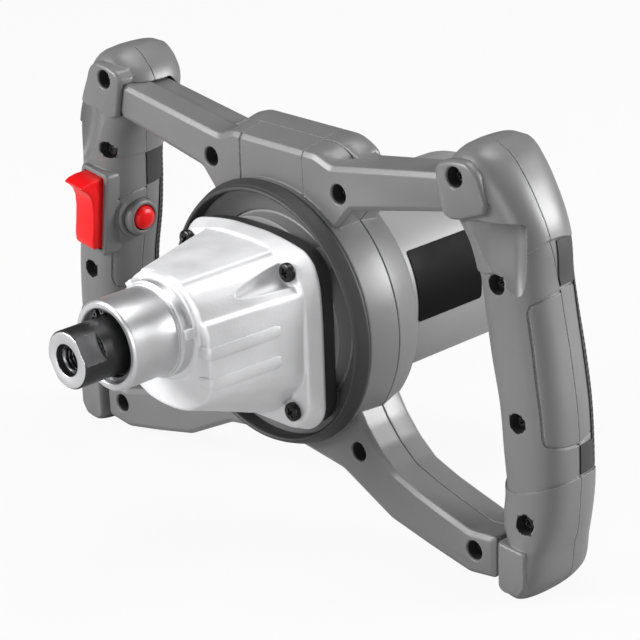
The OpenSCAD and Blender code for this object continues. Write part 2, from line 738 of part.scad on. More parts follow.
module handle_half(front, upper) {
    difference() {
        union() {
            intersection() {
                handle_form();
                if (front) box(0, far, -far, handle_seam, -far, far);
                else box(0, far, handle_seam, far, -far, far);
            }
            if (front) {
                bevelled(ear_outline, ear_face, ear_face + 9, 1.2, 0);
                bevelled(foot_outline, handle_seam - 22, handle_seam - 6, 1.2, 0);
            }
        }
        difference() {
            handle_form(shell_wall);
            handle_pillars(upper);
        }
        for (t = [beam_tongue, arm_tongue])
            tongue([t[0] - 20, t[1], t[2], t[3]], tongue_front, tongue_back, slide_gap);
        box(0, beam_end + slide_gap, frame_face - slide_gap, hub_back + slide_gap,
            beam_lift - 13, beam_lift + 9);
        box(0, arm_end + slide_gap, 0, far, -far, foot_z + 28);
        handle_bores(upper);
    }
}

pad_front = handle_seam + 14;
pad_top = boss_h - 34;
pad_bottom = -42;
pad_depth = 1.6;

// The band round the back of a grip that its rubber pad covers
module pad_band(depth, g = 0) {
    difference() {
        box(0, far, pad_front - g, far, pad_bottom - g, pad_top + g);
        handle_form(depth);
    }
}

module grip_pad_form() {
    intersection() {
        handle_form(-0.6);
        pad_band(pad_depth);
    }
}

// Openings in the left handle for the trigger, the lock button and the cable
module left_openings() {
    translate([trigger_x, 0, trigger_z]) rotate([0, lean, 0])
        box(-trigger_w / 2 - slide_gap, trigger_w / 2 + slide_gap, -far, handle_seam - 1,
            -trigger_h / 2 - slide_gap, trigger_h / 2 + slide_gap);
    translate([0, button_y, button_z]) rotate([0, 90, 0]) translate([0, 0, -grip_reach + 17])
        cylinder(r = button_collar_r + seat_gap, h = 60);
    rod(gland_r + seat_gap, handle_seam + 12, far, -grip_reach - 3, gland_z);
}

button_collar_r = button_d / 2 + 3.6;
gland_r = 7;
gland_z = -80;

module trigger_surround() {
    translate([trigger_x, 0, trigger_z]) rotate([0, lean, 0]) difference() {
        box(-trigger_w / 2 - 3.4, trigger_w / 2 + 3.4, grip_front_y - 2.5, handle_seam - 4,
            -trigger_h / 2 - 4, trigger_h / 2 + 3.4);
        box(-trigger_w / 2 - slide_gap, trigger_w / 2 + slide_gap, 0, far,
            -trigger_h / 2 - slide_gap, trigger_h / 2 + slide_gap);
    }
}

module left_handle_front_shell() {
    color("gray") place() {
        difference() {
            union() {
                difference() {
                    mirror([1, 0, 0]) handle_half(true, upper_screw_left);
                    left_openings();
                }
                difference() {
                    trigger_surround();
                    mirror([1, 0, 0]) handle_form(shell_wall + 4);
                }
            }
            mirror([1, 0, 0]) handle_bores(upper_screw_left);
            translate([0, button_y, button_z]) rotate([0, 90, 0]) translate([0, 0, -grip_reach + 17])
                cylinder(r = button_collar_r + seat_gap, h = 60);
        }
    }
}

module left_handle_rear_shell() {
    color("gray") place() difference() {
        mirror([1, 0, 0]) handle_half(false, upper_screw_left);
        mirror([1, 0, 0]) pad_band(pad_depth + seat_gap, seat_gap);
        left_openings();
    }
}

module right_handle_front_shell() {
    color("gray") place() handle_half(true, upper_screw_right);
}

module right_handle_rear_shell() {
    color("gray") place() difference() {
        handle_half(false, upper_screw_right);
        pad_band(pad_depth + seat_gap, seat_gap);
    }
}

module left_grip_pad() {
    color("black") place() mirror([1, 0, 0]) grip_pad_form();
}

module right_grip_pad() {
    color("black") place() grip_pad_form();
}

module handle_screw(p) {
    cross_head(screw_head_r, screw_head_t, screw_r, p[2] + 7 - screw_head_t,
        handle_seam + screw_reach - 1, p[0], p[1]);
}

module handle_screws() {
    color("black") place() {
        for (p = places_of(upper_screw_right)) handle_screw(p);
        mirror([1, 0, 0]) for (p = places_of(upper_screw_left)) handle_screw(p);
    }
}

// Motor

module motor_housing() {
    color("gray") place() difference() {
        union() {
            rod(motor_r, plate_back, cap_front);
            rod(guide_r, hub_front + hub_wall + 0.1, seam_y - 4);
            for (x = [-1, 1], z = [-1, 1])
                rod(post_r, plate_back, plate_back + 20, x * screw_xy, z * screw_xy);
        }
        rod(motor_inner, plate_back - 1, cap_front + 1);
        for (x = [-1, 1], z = [-1, 1])
            rod(2.25, plate_back - 1, plate_back + 15, x * screw_xy, z * screw_xy);
        for (a = [0:30:330]) rotate([0, a, 0])
            box(motor_inner - 2, motor_r + 2, fan_front + 2, fan_front + fan_w - 2, -3.5, 3.5);
    }
    color("gray") place() difference() {
        union() {
            for (a = [45:90:315]) rotate([0, a, 0])
                box(rear_brg_r + 1, motor_inner + 1, rear_brg_front, rear_brg_front + rear_brg_w, -3, 3);
            rod(rear_brg_r + 3, rear_brg_front, rear_brg_front + rear_brg_w);
            for (s = [0, 1]) mirror([s, 0, 0])
                box(cap_screw_x - 4, motor_inner + 1, cap_front - 14, cap_front, -4, 4);
        }
        rod(rear_brg_r, 0, far);
        for (s = [-1, 1]) rod(screw_r + run_gap, cap_front - 12, cap_front + 1, s * cap_screw_x, 0);
    }
}

cap_step = 10;
cap_screw_x = motor_inner - 5.5;
cap_profile = [[28, 0], [36, -2.5], [42, -8], [46.5, -16], [motor_r, 3 - cap_l], [motor_r, -cap_l]];

module end_cap() {
    color("gray") place() difference() {
        turned(concat([[0, cap_back]], [for (q = cap_profile) [q[0], cap_back + q[1]]], [[0, cap_front]]));
        difference() {
            turned(concat([[0, cap_back - 3]], [for (q = cap_profile)
                [q[0] - 3, cap_back + q[1] - 2.2]], [[0, cap_front - 2.2]]));
            for (s = [-1, 1]) rod(4.6, cap_front - 1, cap_front + cap_step, s * cap_screw_x, 0);
        }
        for (i = [-4:4]) box(-22, 22, cap_back - 8, cap_back + 1, i * 5.6 - 1.3, i * 5.6 + 1.3);
        for (s = [-1, 1]) {
            rod(screw_r + 0.2, cap_front - 1, cap_back + 1, s * cap_screw_x, 0);
            rod(3.8, cap_front + cap_step, cap_back + 1, s * cap_screw_x, 0);
        }
    }
}

module end_cap_screws() {
    y = cap_front + cap_step;
    color("black") place() for (s = [-1, 1]) translate([0, 2 * y, 0]) mirror([0, 1, 0])
        cross_head(screw_head_r, screw_head_t, screw_r, y - screw_head_t, y + cap_step + 10,
            s * cap_screw_x, 0);
}

label_y0 = hub_back + 13;
label_y1 = label_y0 + 44;
label_t = 0.6;

module motor_plate() {
    color("black") place() intersection() {
        tube(motor_r + label_t, motor_r + seat_gap, label_y0, label_y1);
        rotate([0, -12, 0]) box(0, far, label_y0, label_y1, -17.5, 17.5);
    }
}

module armature_shaft() {
    neck_r = fast_module * motor_teeth / 2 - 0.8;
    shoulder_y = plate_back + 1 + front_brg_w + slide_gap;
    color("slategray") place() {
        gear(motor_teeth, fast_module, pinion_shift, fast_front - 1.5, flange_back - 1, 0,
            -90 + 180 / motor_teeth, tip_trim * fast_module);
        turned([[0, fast_front], [neck_r, fast_front], [neck_r, plate_back],
            [arm_shaft_r - run_gap, plate_back], [arm_shaft_r - run_gap, shoulder_y],
            [arm_shaft_r + 1, shoulder_y], [arm_shaft_r + 1, rear_brg_front - slide_gap],
            [journal_r - run_gap, rear_brg_front - slide_gap],
            [journal_r - run_gap, rear_brg_front + rear_brg_w], [0, rear_brg_front + rear_brg_w]]);
    }
}

module armature_core() {
    color("peru") place() difference() {
        union() {
            rod(core_d / 2, core_front, core_back);
            turned([[0, core_front - 10], [core_d / 2 - 9, core_front - 10], [core_d / 2 - 3, core_front - 5],
                [core_d / 2 - 3, core_front + 1], [0, core_front + 1]]);
            turned([[0, core_back - 1], [core_d / 2 - 3, core_back - 1], [core_d / 2 - 3, core_back + 6],
                [core_d / 2 - 8, comm_front - 1], [0, comm_front - 1]]);
        }
        rod(arm_shaft_r + 1 + run_gap, core_front - 20, comm_front);
        for (a = [0:30:330]) rotate([0, a, 0])
            box(core_d / 2 - 1.2, core_d, core_front - 1, core_back + 1, -0.8, 0.8);
    }
}

module commutator() {
    color("chocolate") place() difference() {
        union() {
            rod(comm_r, comm_front, comm_front + comm_l);
            rod(comm_r + 1.6, comm_front, comm_front + 2);
        }
        rod(arm_shaft_r + 1 + run_gap, comm_front - 1, comm_front + comm_l + 1);
        for (a = [0:15:345]) rotate([0, a, 0])
            box(comm_r - 0.8, comm_r + 3, comm_front - 1, comm_front + comm_l + 1, -0.3, 0.3);
    }
}

module cooling_fan() {
    color("ivory") place() difference() {
        union() {
            rod(arm_shaft_r + 4, fan_front, fan_front + fan_w);
            rod(38, fan_front + fan_w - 2, fan_front + fan_w);
            for (a = [0:36:324]) rotate([0, a, 0])
                box(arm_shaft_r + 2, 38, fan_front + 3, fan_front + fan_w - 1, -1, 1);
        }
        rod(arm_shaft_r + 1 + run_gap, fan_front - 1, fan_front + fan_w + 1);
    }
}

module armature_front_bearing() {
    color("lightgray") place()
        ball_bearing(front_brg_r - seat_gap / 5, arm_shaft_r, plate_back + 1, plate_back + 1 + front_brg_w);
}

module armature_rear_bearing() {
    color("lightgray") place()
        ball_bearing(rear_brg_r, journal_r, rear_brg_front, rear_brg_front + rear_brg_w);
}

module stator_core() {
    color("lightsteelblue") place() difference() {
        rod(motor_inner - seat_gap / 2, core_front, core_back);
        rod(core_d / 2 + 0.5, core_front - 1, core_back + 1);
        for (s = [-1, 1]) rotate([0, 90 + s * 90, 0])
            box(core_d / 2 - 4, motor_inner - 7, core_front - 1, core_back + 1, -13, 13);
    }
}

module field_coils() {
    color("peru") place() for (s = [-1, 1]) rotate([0, 90 + s * 90, 0]) difference() {
        box(core_d / 2 + 2, motor_inner - 8, core_front - 8, core_back + 8, -12.5, 12.5);
        rod(core_d / 2 + 1.5, core_front - 10, core_back + 10);
    }
}

module brush_holders() {
    color("goldenrod") place() for (s = [-1, 1]) scale([s, 1, 1]) difference() {
        intersection() {
            box(comm_r + 1.8, motor_inner + 5, comm_front + 3, comm_front + 12, -5, 5);
            rod(motor_inner - seat_gap, comm_front - 5, comm_front + 20);
        }
        box(comm_r, motor_inner - 2, comm_front + 4.4, comm_front + 10.6, -3.6, 3.6);
    }
}

module carbon_brushes() {
    color("black") place() for (s = [-1, 1]) scale([s, 1, 1])
        difference() {
            box(comm_r - 1, comm_r + 16, comm_front + 4.5, comm_front + 10.5, -3.5, 3.5);
            rod(comm_r + run_gap, comm_front, comm_front + comm_l);
        }
}

module brush_springs() {
    color("silver") place() for (s = [-1, 1]) scale([s, 1, 1])
        translate([comm_r + 16, comm_front + 7.5, 0]) rotate([0, 90, 0])
        cylinder(r = 2.4, h = motor_inner - 2 - comm_r - 16);
}

// Controls in the left handle

stem_w = 9;
stem_h = 14;
stem_back = handle_seam - 3;
trigger_back = grip_front_y + 3;

module trigger() {
    color("red") place() translate([trigger_x, 0, trigger_z]) rotate([0, lean, 0]) {
        rotate([90, 0, 90]) translate([0, 0, -trigger_w / 2]) linear_extrude(trigger_w)
            polygon([[trigger_face, -trigger_h / 2 + 4], [trigger_face + 3, -trigger_h / 2],
                [trigger_back, -trigger_h / 2], [trigger_back, trigger_h / 2],
                [trigger_face + 4, trigger_h / 2], [trigger_face - 7.5, trigger_h / 2 - 1.5],
                [trigger_face - 8, trigger_h / 2 - 4], [trigger_face - 1.2, trigger_h / 2 - 10]]);
        box(-stem_w / 2, stem_w / 2, trigger_back - 1, stem_back, -stem_h / 2, stem_h / 2);
    }
}

switch_front = trigger_back + trigger_travel + 1;
switch_back = handle_seam + 16;
switch_half = 7.5;
spring_rest = 4.4;

module switch_body() {
    color("black") place() difference() {
        translate([trigger_x, 0, trigger_z]) rotate([0, lean, 0]) difference() {
            box(-switch_half, switch_half, switch_front, switch_back, -18, 18);
            box(-stem_w / 2 - slide_gap, stem_w / 2 + slide_gap, switch_front - 1,
                stem_back + trigger_travel + spring_rest, -stem_h / 2 - slide_gap,
                stem_h / 2 + slide_gap);
        }
        translate([button_root - 4, button_y, button_z]) rotate([0, 90, 0])
            cylinder(r = button_stem_r + slide_gap, h = 40);
    }
}

module trigger_spring() {
    color("silver") place() translate([trigger_x, stem_back, trigger_z]) rotate([0, lean, 0])
        rod(3, 0, trigger_travel + spring_rest);
}

button_stem_r = 3.2;
button_root = -(grip_reach - 17.5);

module lock_button() {
    r = button_d / 2;
    dome = 8.3;
    color("red") place() translate([0, button_y, button_z]) rotate([0, 90, 0]) {
        translate([0, 0, button_tip]) rotate_extrude() intersection() {
            translate([0, -dome]) circle(r = dome);
            translate([0, -6]) square([r, 7]);
        }
        translate([0, 0, button_root]) cylinder(r = button_stem_r, h = button_tip - 5 - button_root);
    }
}

module lock_spring() {
    side = trigger_x + switch_half + 0.6;
    color("silver") place() translate([side, button_y, button_z]) rotate([0, 90, 0])
        difference() {
            cylinder(r = button_stem_r + 1.4, h = button_tip - 6 - side);
            translate([0, 0, -1]) cylinder(r = button_stem_r + 0.4, h = 40);
        }
}

module button_collar() {
    color("dimgray") place() translate([0, button_y, button_z]) rotate([0, 90, 0]) difference() {
        translate([0, 0, button_tip - 11]) cylinder(r = button_collar_r, h = 8);
        translate([0, 0, button_tip - 20]) cylinder(r = button_d / 2 + slide_gap, h = 60);
    }
}

module suppressor() {
    color("gold") place()
        box(-grip_reach - 10, -grip_reach + 6, handle_seam - 12.15, handle_seam + 6, -52, -28);
}

module cable_gland() {
    color("black") place() difference() {
        union() {
            rod(gland_r, handle_seam + 14, handle_seam + grip_back - 1, -grip_reach - 3, gland_z);
        }
        rod(3.7, 0, far, -grip_reach - 3, gland_z);
    }
}

spindle();
spindle_gear();
nose_bearing();
nose_circlip();
dust_seal();
spindle_rear_bush();
lay_shaft();
lay_gear();
lay_front_bush();
lay_rear_bush();
gear_housing();
bearing_plate();
flange_screws();
guard_ring();
frame_front_shell();
frame_rear_shell();
frame_screws();
left_handle_front_shell();
left_handle_rear_shell();
right_handle_front_shell();
right_handle_rear_shell();
left_grip_pad();
right_grip_pad();
handle_screws();
motor_housing();
end_cap();
end_cap_screws();
motor_plate();
armature_shaft();
armature_core();
commutator();
cooling_fan();
armature_front_bearing();
armature_rear_bearing();
stator_core();
field_coils();
brush_holders();
carbon_brushes();
brush_springs();
trigger();
trigger_spring();
lock_button();
lock_spring();
button_collar();
switch_body();
suppressor();
cable_gland();
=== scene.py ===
import math

import bmesh
import bpy
from mathutils import Matrix, Vector


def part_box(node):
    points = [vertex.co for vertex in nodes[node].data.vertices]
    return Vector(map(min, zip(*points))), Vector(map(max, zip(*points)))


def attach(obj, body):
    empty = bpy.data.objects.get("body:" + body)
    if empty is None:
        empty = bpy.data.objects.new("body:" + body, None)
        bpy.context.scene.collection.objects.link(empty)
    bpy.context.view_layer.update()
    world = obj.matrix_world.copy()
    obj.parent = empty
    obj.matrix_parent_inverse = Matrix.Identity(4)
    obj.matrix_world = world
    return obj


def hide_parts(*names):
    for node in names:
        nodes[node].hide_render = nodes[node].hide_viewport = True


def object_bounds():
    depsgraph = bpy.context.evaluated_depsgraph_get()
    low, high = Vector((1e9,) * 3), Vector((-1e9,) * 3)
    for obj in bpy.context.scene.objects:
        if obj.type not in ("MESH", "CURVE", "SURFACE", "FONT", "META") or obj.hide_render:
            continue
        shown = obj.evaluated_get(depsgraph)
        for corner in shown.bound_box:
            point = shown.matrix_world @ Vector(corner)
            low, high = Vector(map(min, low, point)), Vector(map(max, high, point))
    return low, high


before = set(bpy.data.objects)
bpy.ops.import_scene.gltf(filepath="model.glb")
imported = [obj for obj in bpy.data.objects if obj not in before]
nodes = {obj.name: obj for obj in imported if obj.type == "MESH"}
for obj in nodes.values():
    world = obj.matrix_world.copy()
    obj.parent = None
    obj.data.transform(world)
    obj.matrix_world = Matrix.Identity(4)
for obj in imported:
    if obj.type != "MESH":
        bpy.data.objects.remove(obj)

cad_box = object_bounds()
scene = bpy.context.scene
scene.view_settings.view_transform = "Standard"

# Camera. A long lens to the front right of the machine and a little above it, leaning two degrees, as a
# product picture is taken.
turn, rise, lean = (math.radians(a) for a in (46.931, 21.617, -2.089))
back = Vector((math.sin(turn) * math.cos(rise), -math.cos(turn) * math.cos(rise), math.sin(rise)))
level = Vector((math.cos(turn), math.sin(turn), 0))
upright = back.cross(level)
right = level * math.cos(lean) + upright * math.sin(lean)
upright = upright * math.cos(lean) - level * math.sin(lean)
lens = bpy.data.cameras.new("camera")
lens.sensor_width, lens.lens, lens.clip_end = 36, 136.58, 20
camera = bpy.data.objects.new("camera", lens)
scene.collection.objects.link(camera)
facing = Matrix((right, upright, back)).transposed().to_4x4()
camera.matrix_world = Matrix.Translation((0.8091, -0.7391, 0.5275)) @ facing
scene.camera = camera

# Studio. A pale floor that the feet stand on, a white surround, a large soft lamp at the front left, one
# above, a strong one at the right rear and a weak one low at the front right.


def new_material(name, colour, metallic, roughness):
    """A material with its Principled shader; returns it with its node tree and shader."""
    made = bpy.data.materials.new(name)
    made.use_nodes = True
    shader = made.node_tree.nodes["Principled BSDF"]
    shader.inputs["Base Color"].default_value = (*colour, 1)
    shader.inputs["Metallic"].default_value = metallic
    shader.inputs["Roughness"].default_value = roughness
    return made, made.node_tree, shader


floor_finish, tree, shader = new_material("studio_floor", (0.42, 0.42, 0.42), 0, 0.8)
light_path = tree.nodes.new("ShaderNodeLightPath")
white = tree.nodes.new("ShaderNodeEmission")
share = tree.nodes.new("ShaderNodeMath")
share.operation = "MULTIPLY"
share.inputs[1].default_value = 0.92
mix = tree.nodes.new("ShaderNodeMixShader")
tree.links.new(light_path.outputs["Is Camera Ray"], share.inputs[0])
tree.links.new(share.outputs[0], mix.inputs[0])
tree.links.new(shader.outputs[0], mix.inputs[1])
tree.links.new(white.outputs[0], mix.inputs[2])
tree.links.new(mix.outputs[0], tree.nodes["Material Output"].inputs["Surface"])

mesh = bpy.data.meshes.new("studio_floor")
low = cad_box[0].z - 0.0002
mesh.from_pydata([(x, y, low) for x, y in ((-6, -6), (6, -6), (6, 6), (-6, 6))], [], [(0, 1, 2, 3)])
floor = bpy.data.objects.new("studio_floor", mesh)
mesh.materials.append(floor_finish)
scene.collection.objects.link(floor)

world = bpy.data.worlds.new("surround")
world.use_nodes = True
scene.world = world
tree = world.node_tree
ambient = tree.nodes["Background"]
ambient.inputs["Color"].default_value = (1, 1, 1, 1)
ambient.inputs["Strength"].default_value = 0.08
seen = tree.nodes.new("ShaderNodeBackground")
seen.inputs["Color"].default_value = (1, 1, 1, 1)
light_path = tree.nodes.new("ShaderNodeLightPath")
mix = tree.nodes.new("ShaderNodeMixShader")
tree.links.new(light_path.outputs["Is Camera Ray"], mix.inputs[0])
tree.links.new(ambient.outputs[0], mix.inputs[1])
tree.links.new(seen.outputs[0], mix.inputs[2])
tree.links.new(mix.outputs[0], tree.nodes["World Output"].inputs["Surface"])

for name, place, size, power in (
    ("lamp_front", (-1.0, -1.6, 1.0), 0.9, 58),
    ("lamp_top", (0.15, 0.35, 1.9), 1.0, 21),
    ("lamp_right", (1.4, 1.5, 0.75), 0.9, 66),
    ("lamp_fill", (1.0, -1.5, 0.45), 0.8, 10),
):
    lamp = bpy.data.lights.new(name, "AREA")
    lamp.size, lamp.energy = size, power
    lamp_object = bpy.data.objects.new(name, lamp)
    lamp_object.location = place
    lamp_object.rotation_euler = (Vector((0, 0, 0.1)) - Vector(place)).to_track_quat("-Z", "Y").to_euler()
    scene.collection.objects.link(lamp_object)

# Spindle. A steel bar, turned, threaded inside for the paddle and milled with two flats for the spanner. It
# is blackened all over but for the ground ring of its end face.
box_lo, box_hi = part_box("motor_housing")
housing_front = 4
motor_line = Vector((0, box_lo.y - housing_front / 1000, (box_lo.z + box_hi.z) / 2))


def at(x, y, z):
    """A point in millimetres about the motor's line, y from the bearing plate's middle, as a place."""
    return motor_line + Vector((x, y, z)) / 1000


def solid(name, points, faces, outward=True):
    """A mesh object from points in millimetres, with its doubles merged and its faces turned outwards."""
    made = bpy.data.meshes.new(name)
    made.from_pydata([at(*p) for p in points], [], faces)
    work = bmesh.new()
    work.from_mesh(made)
    bmesh.ops.remove_doubles(work, verts=work.verts, dist=1e-7)
    if outward:
        bmesh.ops.recalc_face_normals(work, faces=work.faces)
    work.to_mesh(made)
    work.free()
    obj = bpy.data.objects.new(name, made)
    scene.collection.objects.link(obj)
    return obj


def eased(corners, r, steps=3, closed=False):
    """A line of points with each corner rounded by r, or by as much as its sides allow."""
    out, n = [], len(corners)
    for i, b in enumerate(corners):
        if not closed and i in (0, n - 1):
            out.append(tuple(b))
            continue
        a, c, b = Vector(corners[i - 1]), Vector(corners[(i + 1) % n]), Vector(b)
        u, v = (a - b), (c - b)
        reach = min(r, u.length * 0.42, v.length * 0.42)
        p, q = b + u.normalized() * reach, b + v.normalized() * reach
        for k in range(steps + 1):
            t = k / steps
            out.append(tuple(p * (1 - t) ** 2 + b * 2 * t * (1 - t) + q * t**2))
    return out


def lathe(name, profile, height=0, across=0, turns=128, along_x=False):
    """A closed solid turned about a line along Y or X, from a profile of (radius, place on the line)."""
    points, rings, faces = [], [], []
    for r, along in profile:
        n = turns if r > 1e-6 else 1
        rings.append(list(range(len(points), len(points) + n)))
        for a in (2 * math.pi * k / turns for k in range(n)):
            u, v = across + r * math.cos(a), height + r * math.sin(a)
            points.append((along, u, v) if along_x else (u, along, v))
    if profile[0][0] > 1e-6:
        rings.append(rings[0])
    for a, b in zip(rings, rings[1:]):
        for k in range(turns):
            j = (k + 1) % turns
            if len(a) > 1 and len(b) > 1:
                faces.append((a[k], a[j], b[j], b[k]))
            elif len(b) > 1:
                faces.append((a[0], b[j], b[k]))
            elif len(a) > 1:
                faces.append((a[k], a[j], b[0]))
    return solid(name, points, faces)


def block(name, x, y, z, turned=0, about=(0, 0)):
    """A plain cutter between pairs of limits in millimetres, turned in degrees about a line along Y."""
    c, s = math.cos(math.radians(turned)), math.sin(math.radians(turned))
    points = [(about[0] + c * u + s * w, v, about[1] - s * u + c * w) for u in x for v in y for w in z]
    return solid(name, points,
                 [(0, 1, 3, 2), (4, 6, 7, 5), (0, 4, 5, 1), (2, 3, 7, 6), (0, 2, 6, 4), (1, 5, 7, 3)])


def discard(obj):
    """Removes an object with its mesh."""
    drop = obj.data
    bpy.data.objects.remove(obj)
    bpy.data.meshes.remove(drop)


def carve(obj, tools, operation="DIFFERENCE"):
    """Cuts the tools out of obj, or joins them to it, and throws the tools away."""
    for tool in tools:
        step = obj.modifiers.new("carve", "BOOLEAN")
        step.operation, step.solver, step.object = operation, "MANIFOLD", tool
        settle(obj)
        discard(tool)
    return obj


def settle(obj):
    """Turns an object with its modifiers into a plain mesh."""
    made = bpy.data.meshes.new_from_object(obj.evaluated_get(bpy.context.evaluated_depsgraph_get()))
    old = obj.data
    obj.modifiers.clear()
    obj.data = made
    made.name = old.name
    bpy.data.meshes.remove(old)
    return obj


def darken(obj, places, dark, r=4.9, mouth=0.9, deepest=12):
    """Paints shade into round recesses at (x, y of the face, z): their walls and floors get a second,
    near-black material.
    """
    obj.data.materials.append(dark)
    spots = [at(*p) for p in places]
    for face in obj.data.polygons:
        for spot in spots:
            d = face.center - spot
            if math.hypot(d.x, d.z) < r / 1000 and mouth / 1000 < d.y < deepest / 1000:
                face.material_index = 1
    return obj


def fit(obj, made_of, body, replaced=(), crease=32):
    """Gives a mesh its finish and smooth shading, and puts it on its body in place of CAD nodes."""
    obj.data.materials.clear()
    obj.data.materials.append(made_of)
    for face in obj.data.polygons:
        face.use_smooth = True
        face.material_index = 0
    obj.data.set_sharp_from_angle(angle=math.radians(crease))
    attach(obj, body)
    if replaced:
        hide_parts(*replaced)
    return obj


def new_group(name, inputs, outputs):
    """A shader node group with named inputs (name, kind, default) and outputs (name, kind)."""
    group = bpy.data.node_groups.new(name, "ShaderNodeTree")
    for label, kind, value in inputs:
        socket = group.interface.new_socket(label, in_out="INPUT", socket_type=kind)
        if value is not None:
            socket.default_value = value
    for label, kind in outputs:
        group.interface.new_socket(label, in_out="OUTPUT", socket_type=kind)
    return group, group.nodes.new("NodeGroupInput"), group.nodes.new("NodeGroupOutput")


def chain(tree, kind, links, **values):
    """Adds a node: links maps its inputs to outputs of others, values sets its properties or inputs."""
    node = tree.nodes.new(kind)
    for key, value in values.items():
        if hasattr(node, key):
            setattr(node, key, value)
        else:
            node.inputs[key.replace("_", " ")].default_value = value
    for key, source in links.items():
        tree.links.new(source, node.inputs[key])
    return node


# Edge wear and painted highlight: a rounded normal for the shader, and a mask of the outer edges with a
# ragged border, along which finishes take a lighter colour, partly as wear and partly as a painted highlight.
worn_edges, given, result = new_group(
    "worn_edges", [("Radius", "NodeSocketFloat", 0.0004), ("Raggedness", "NodeSocketFloat", 900)],
    [("Normal", "NodeSocketVector"), ("Edge", "NodeSocketFloat")])
rounding = chain(worn_edges, "ShaderNodeBevel", {"Radius": given.outputs["Radius"]}, samples=4)
shape = chain(worn_edges, "ShaderNodeNewGeometry", {})
same = chain(worn_edges, "ShaderNodeVectorMath", {0: rounding.outputs[0], 1: shape.outputs["Normal"]},
             operation="DOT_PRODUCT")
where = chain(worn_edges, "ShaderNodeTexCoord", {})
ragged = chain(worn_edges, "ShaderNodeTexNoise", {"Vector": where.outputs["Object"],
                                                 "Scale": given.outputs["Raggedness"]}, Detail=3)
edge = chain(worn_edges, "ShaderNodeMapRange", {0: same.outputs["Value"]})
edge.inputs[1].default_value, edge.inputs[2].default_value = 0.99, 0.9
patchy = chain(worn_edges, "ShaderNodeMapRange", {0: ragged.outputs[0]})
patchy.inputs[1].default_value, patchy.inputs[2].default_value = 0.4, 0.62
both = chain(worn_edges, "ShaderNodeMath", {0: edge.outputs[0], 1: patchy.outputs[0]}, operation="MULTIPLY")
worn_edges.links.new(rounding.outputs[0], result.inputs["Normal"])
worn_edges.links.new(both.outputs[0], result.inputs["Edge"])

# Surface grain: a fine height for the bump, and slow patches that shift colour and roughness.
surface_grain, given, result = new_group(
    "surface_grain", [("Grain", "NodeSocketFloat", 3000), ("Patches", "NodeSocketFloat", 40)],
    [("Height", "NodeSocketFloat"), ("Patch", "NodeSocketFloat")])
where = chain(surface_grain, "ShaderNodeTexCoord", {})
fine = chain(surface_grain, "ShaderNodeTexNoise",
             {"Vector": where.outputs["Object"], "Scale": given.outputs["Grain"]}, Detail=2, Roughness=0.6)
slow = chain(surface_grain, "ShaderNodeTexNoise", {"Vector": where.outputs["Object"],
                                                   "Scale": given.outputs["Patches"]}, Detail=4)
surface_grain.links.new(fine.outputs[0], result.inputs["Height"])
surface_grain.links.new(slow.outputs[0], result.inputs["Patch"])


def finish(name, colour, second, metallic, roughness, grain=3000, depth=0.02, wear_and_highlight_colour=None, radius=0.0004,
           patches=40, spread=0.06):
    """A procedural finish: two close colours in slow patches, edges lightened as wear and as a painted
    highlight, a fine bump and uneven gloss.
    """
    made, tree, shader = new_material(name, colour, metallic, roughness)
    texture = chain(tree, "ShaderNodeGroup", {}, node_tree=surface_grain)
    texture.inputs["Grain"].default_value, texture.inputs["Patches"].default_value = grain, patches
    edges = chain(tree, "ShaderNodeGroup", {}, node_tree=worn_edges)
    edges.inputs["Radius"].default_value = radius
    tone = chain(tree, "ShaderNodeMix", {"Factor": texture.outputs["Patch"]}, data_type="RGBA")
    tone.inputs[6].default_value, tone.inputs[7].default_value = (*colour, 1), (*second, 1)
    # the edges take the lighter colour, partly wear and partly a painted highlight
    worn_and_lit = chain(tree, "ShaderNodeMix", {"Factor": edges.outputs["Edge"]}, data_type="RGBA")
    tree.links.new(tone.outputs[2], worn_and_lit.inputs[6])
    worn_and_lit.inputs[7].default_value = (*(wear_and_highlight_colour or second), 1)
    gloss = chain(tree, "ShaderNodeMapRange", {0: texture.outputs["Patch"]})
    gloss.inputs[1].default_value, gloss.inputs[2].default_value = 0.3, 0.7
    gloss.inputs[3].default_value, gloss.inputs[4].default_value = roughness - spread, roughness + spread
    bump = chain(tree, "ShaderNodeBump",
                 {"Height": texture.outputs["Height"], "Normal": edges.outputs["Normal"]}, Strength=1,
                 Distance=depth / 1000)
    tree.links.new(worn_and_lit.outputs[2], shader.inputs["Base Color"])
    tree.links.new(gloss.outputs[0], shader.inputs["Roughness"])
    tree.links.new(bump.outputs[0], shader.inputs["Normal"])
    return made


def masked(made, limits, colour, roughness, metallic):
    """Gives the part of a finish where a limit along Y in millimetres is passed another colour and gloss."""
    tree, (low, high) = made.node_tree, limits
    shader = tree.nodes["Principled BSDF"]
    place = chain(tree, "ShaderNodeSeparateXYZ", {0: chain(tree, "ShaderNodeTexCoord", {}).outputs["Object"]})
    band = chain(tree, "ShaderNodeMapRange", {0: place.outputs["Y"]})
    band.inputs[1].default_value, band.inputs[2].default_value = at(0, low, 0).y, at(0, high, 0).y
    band.inputs[3].default_value, band.inputs[4].default_value = 1, 0
    for socket, value, kind in (("Base Color", (*colour, 1), "RGBA"), ("Roughness", roughness, "FLOAT"),
                                ("Metallic", metallic, "FLOAT")):
        a, b, out = (6, 7, 2) if kind == "RGBA" else (2, 3, 0)
        swap = chain(tree, "ShaderNodeMix", {"Factor": band.outputs[0]}, data_type=kind)
        if shader.inputs[socket].is_linked:
            tree.links.new(shader.inputs[socket].links[0].from_socket, swap.inputs[a])
        else:
            swap.inputs[a].default_value = shader.inputs[socket].default_value
        swap.inputs[b].default_value = value
        tree.links.new(swap.outputs[out], shader.inputs[socket])
    return made


spindle_lo, spindle_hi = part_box("spindle")
head_front = (spindle_lo.y - motor_line.y) * 1000
spindle_z = (spindle_lo.z + spindle_hi.z) / 2 * 1000 - motor_line.z * 1000
head_r = (spindle_hi.x - spindle_lo.x) * 500
collar_front = head_front + 22
nose_front = collar_front + 8.1

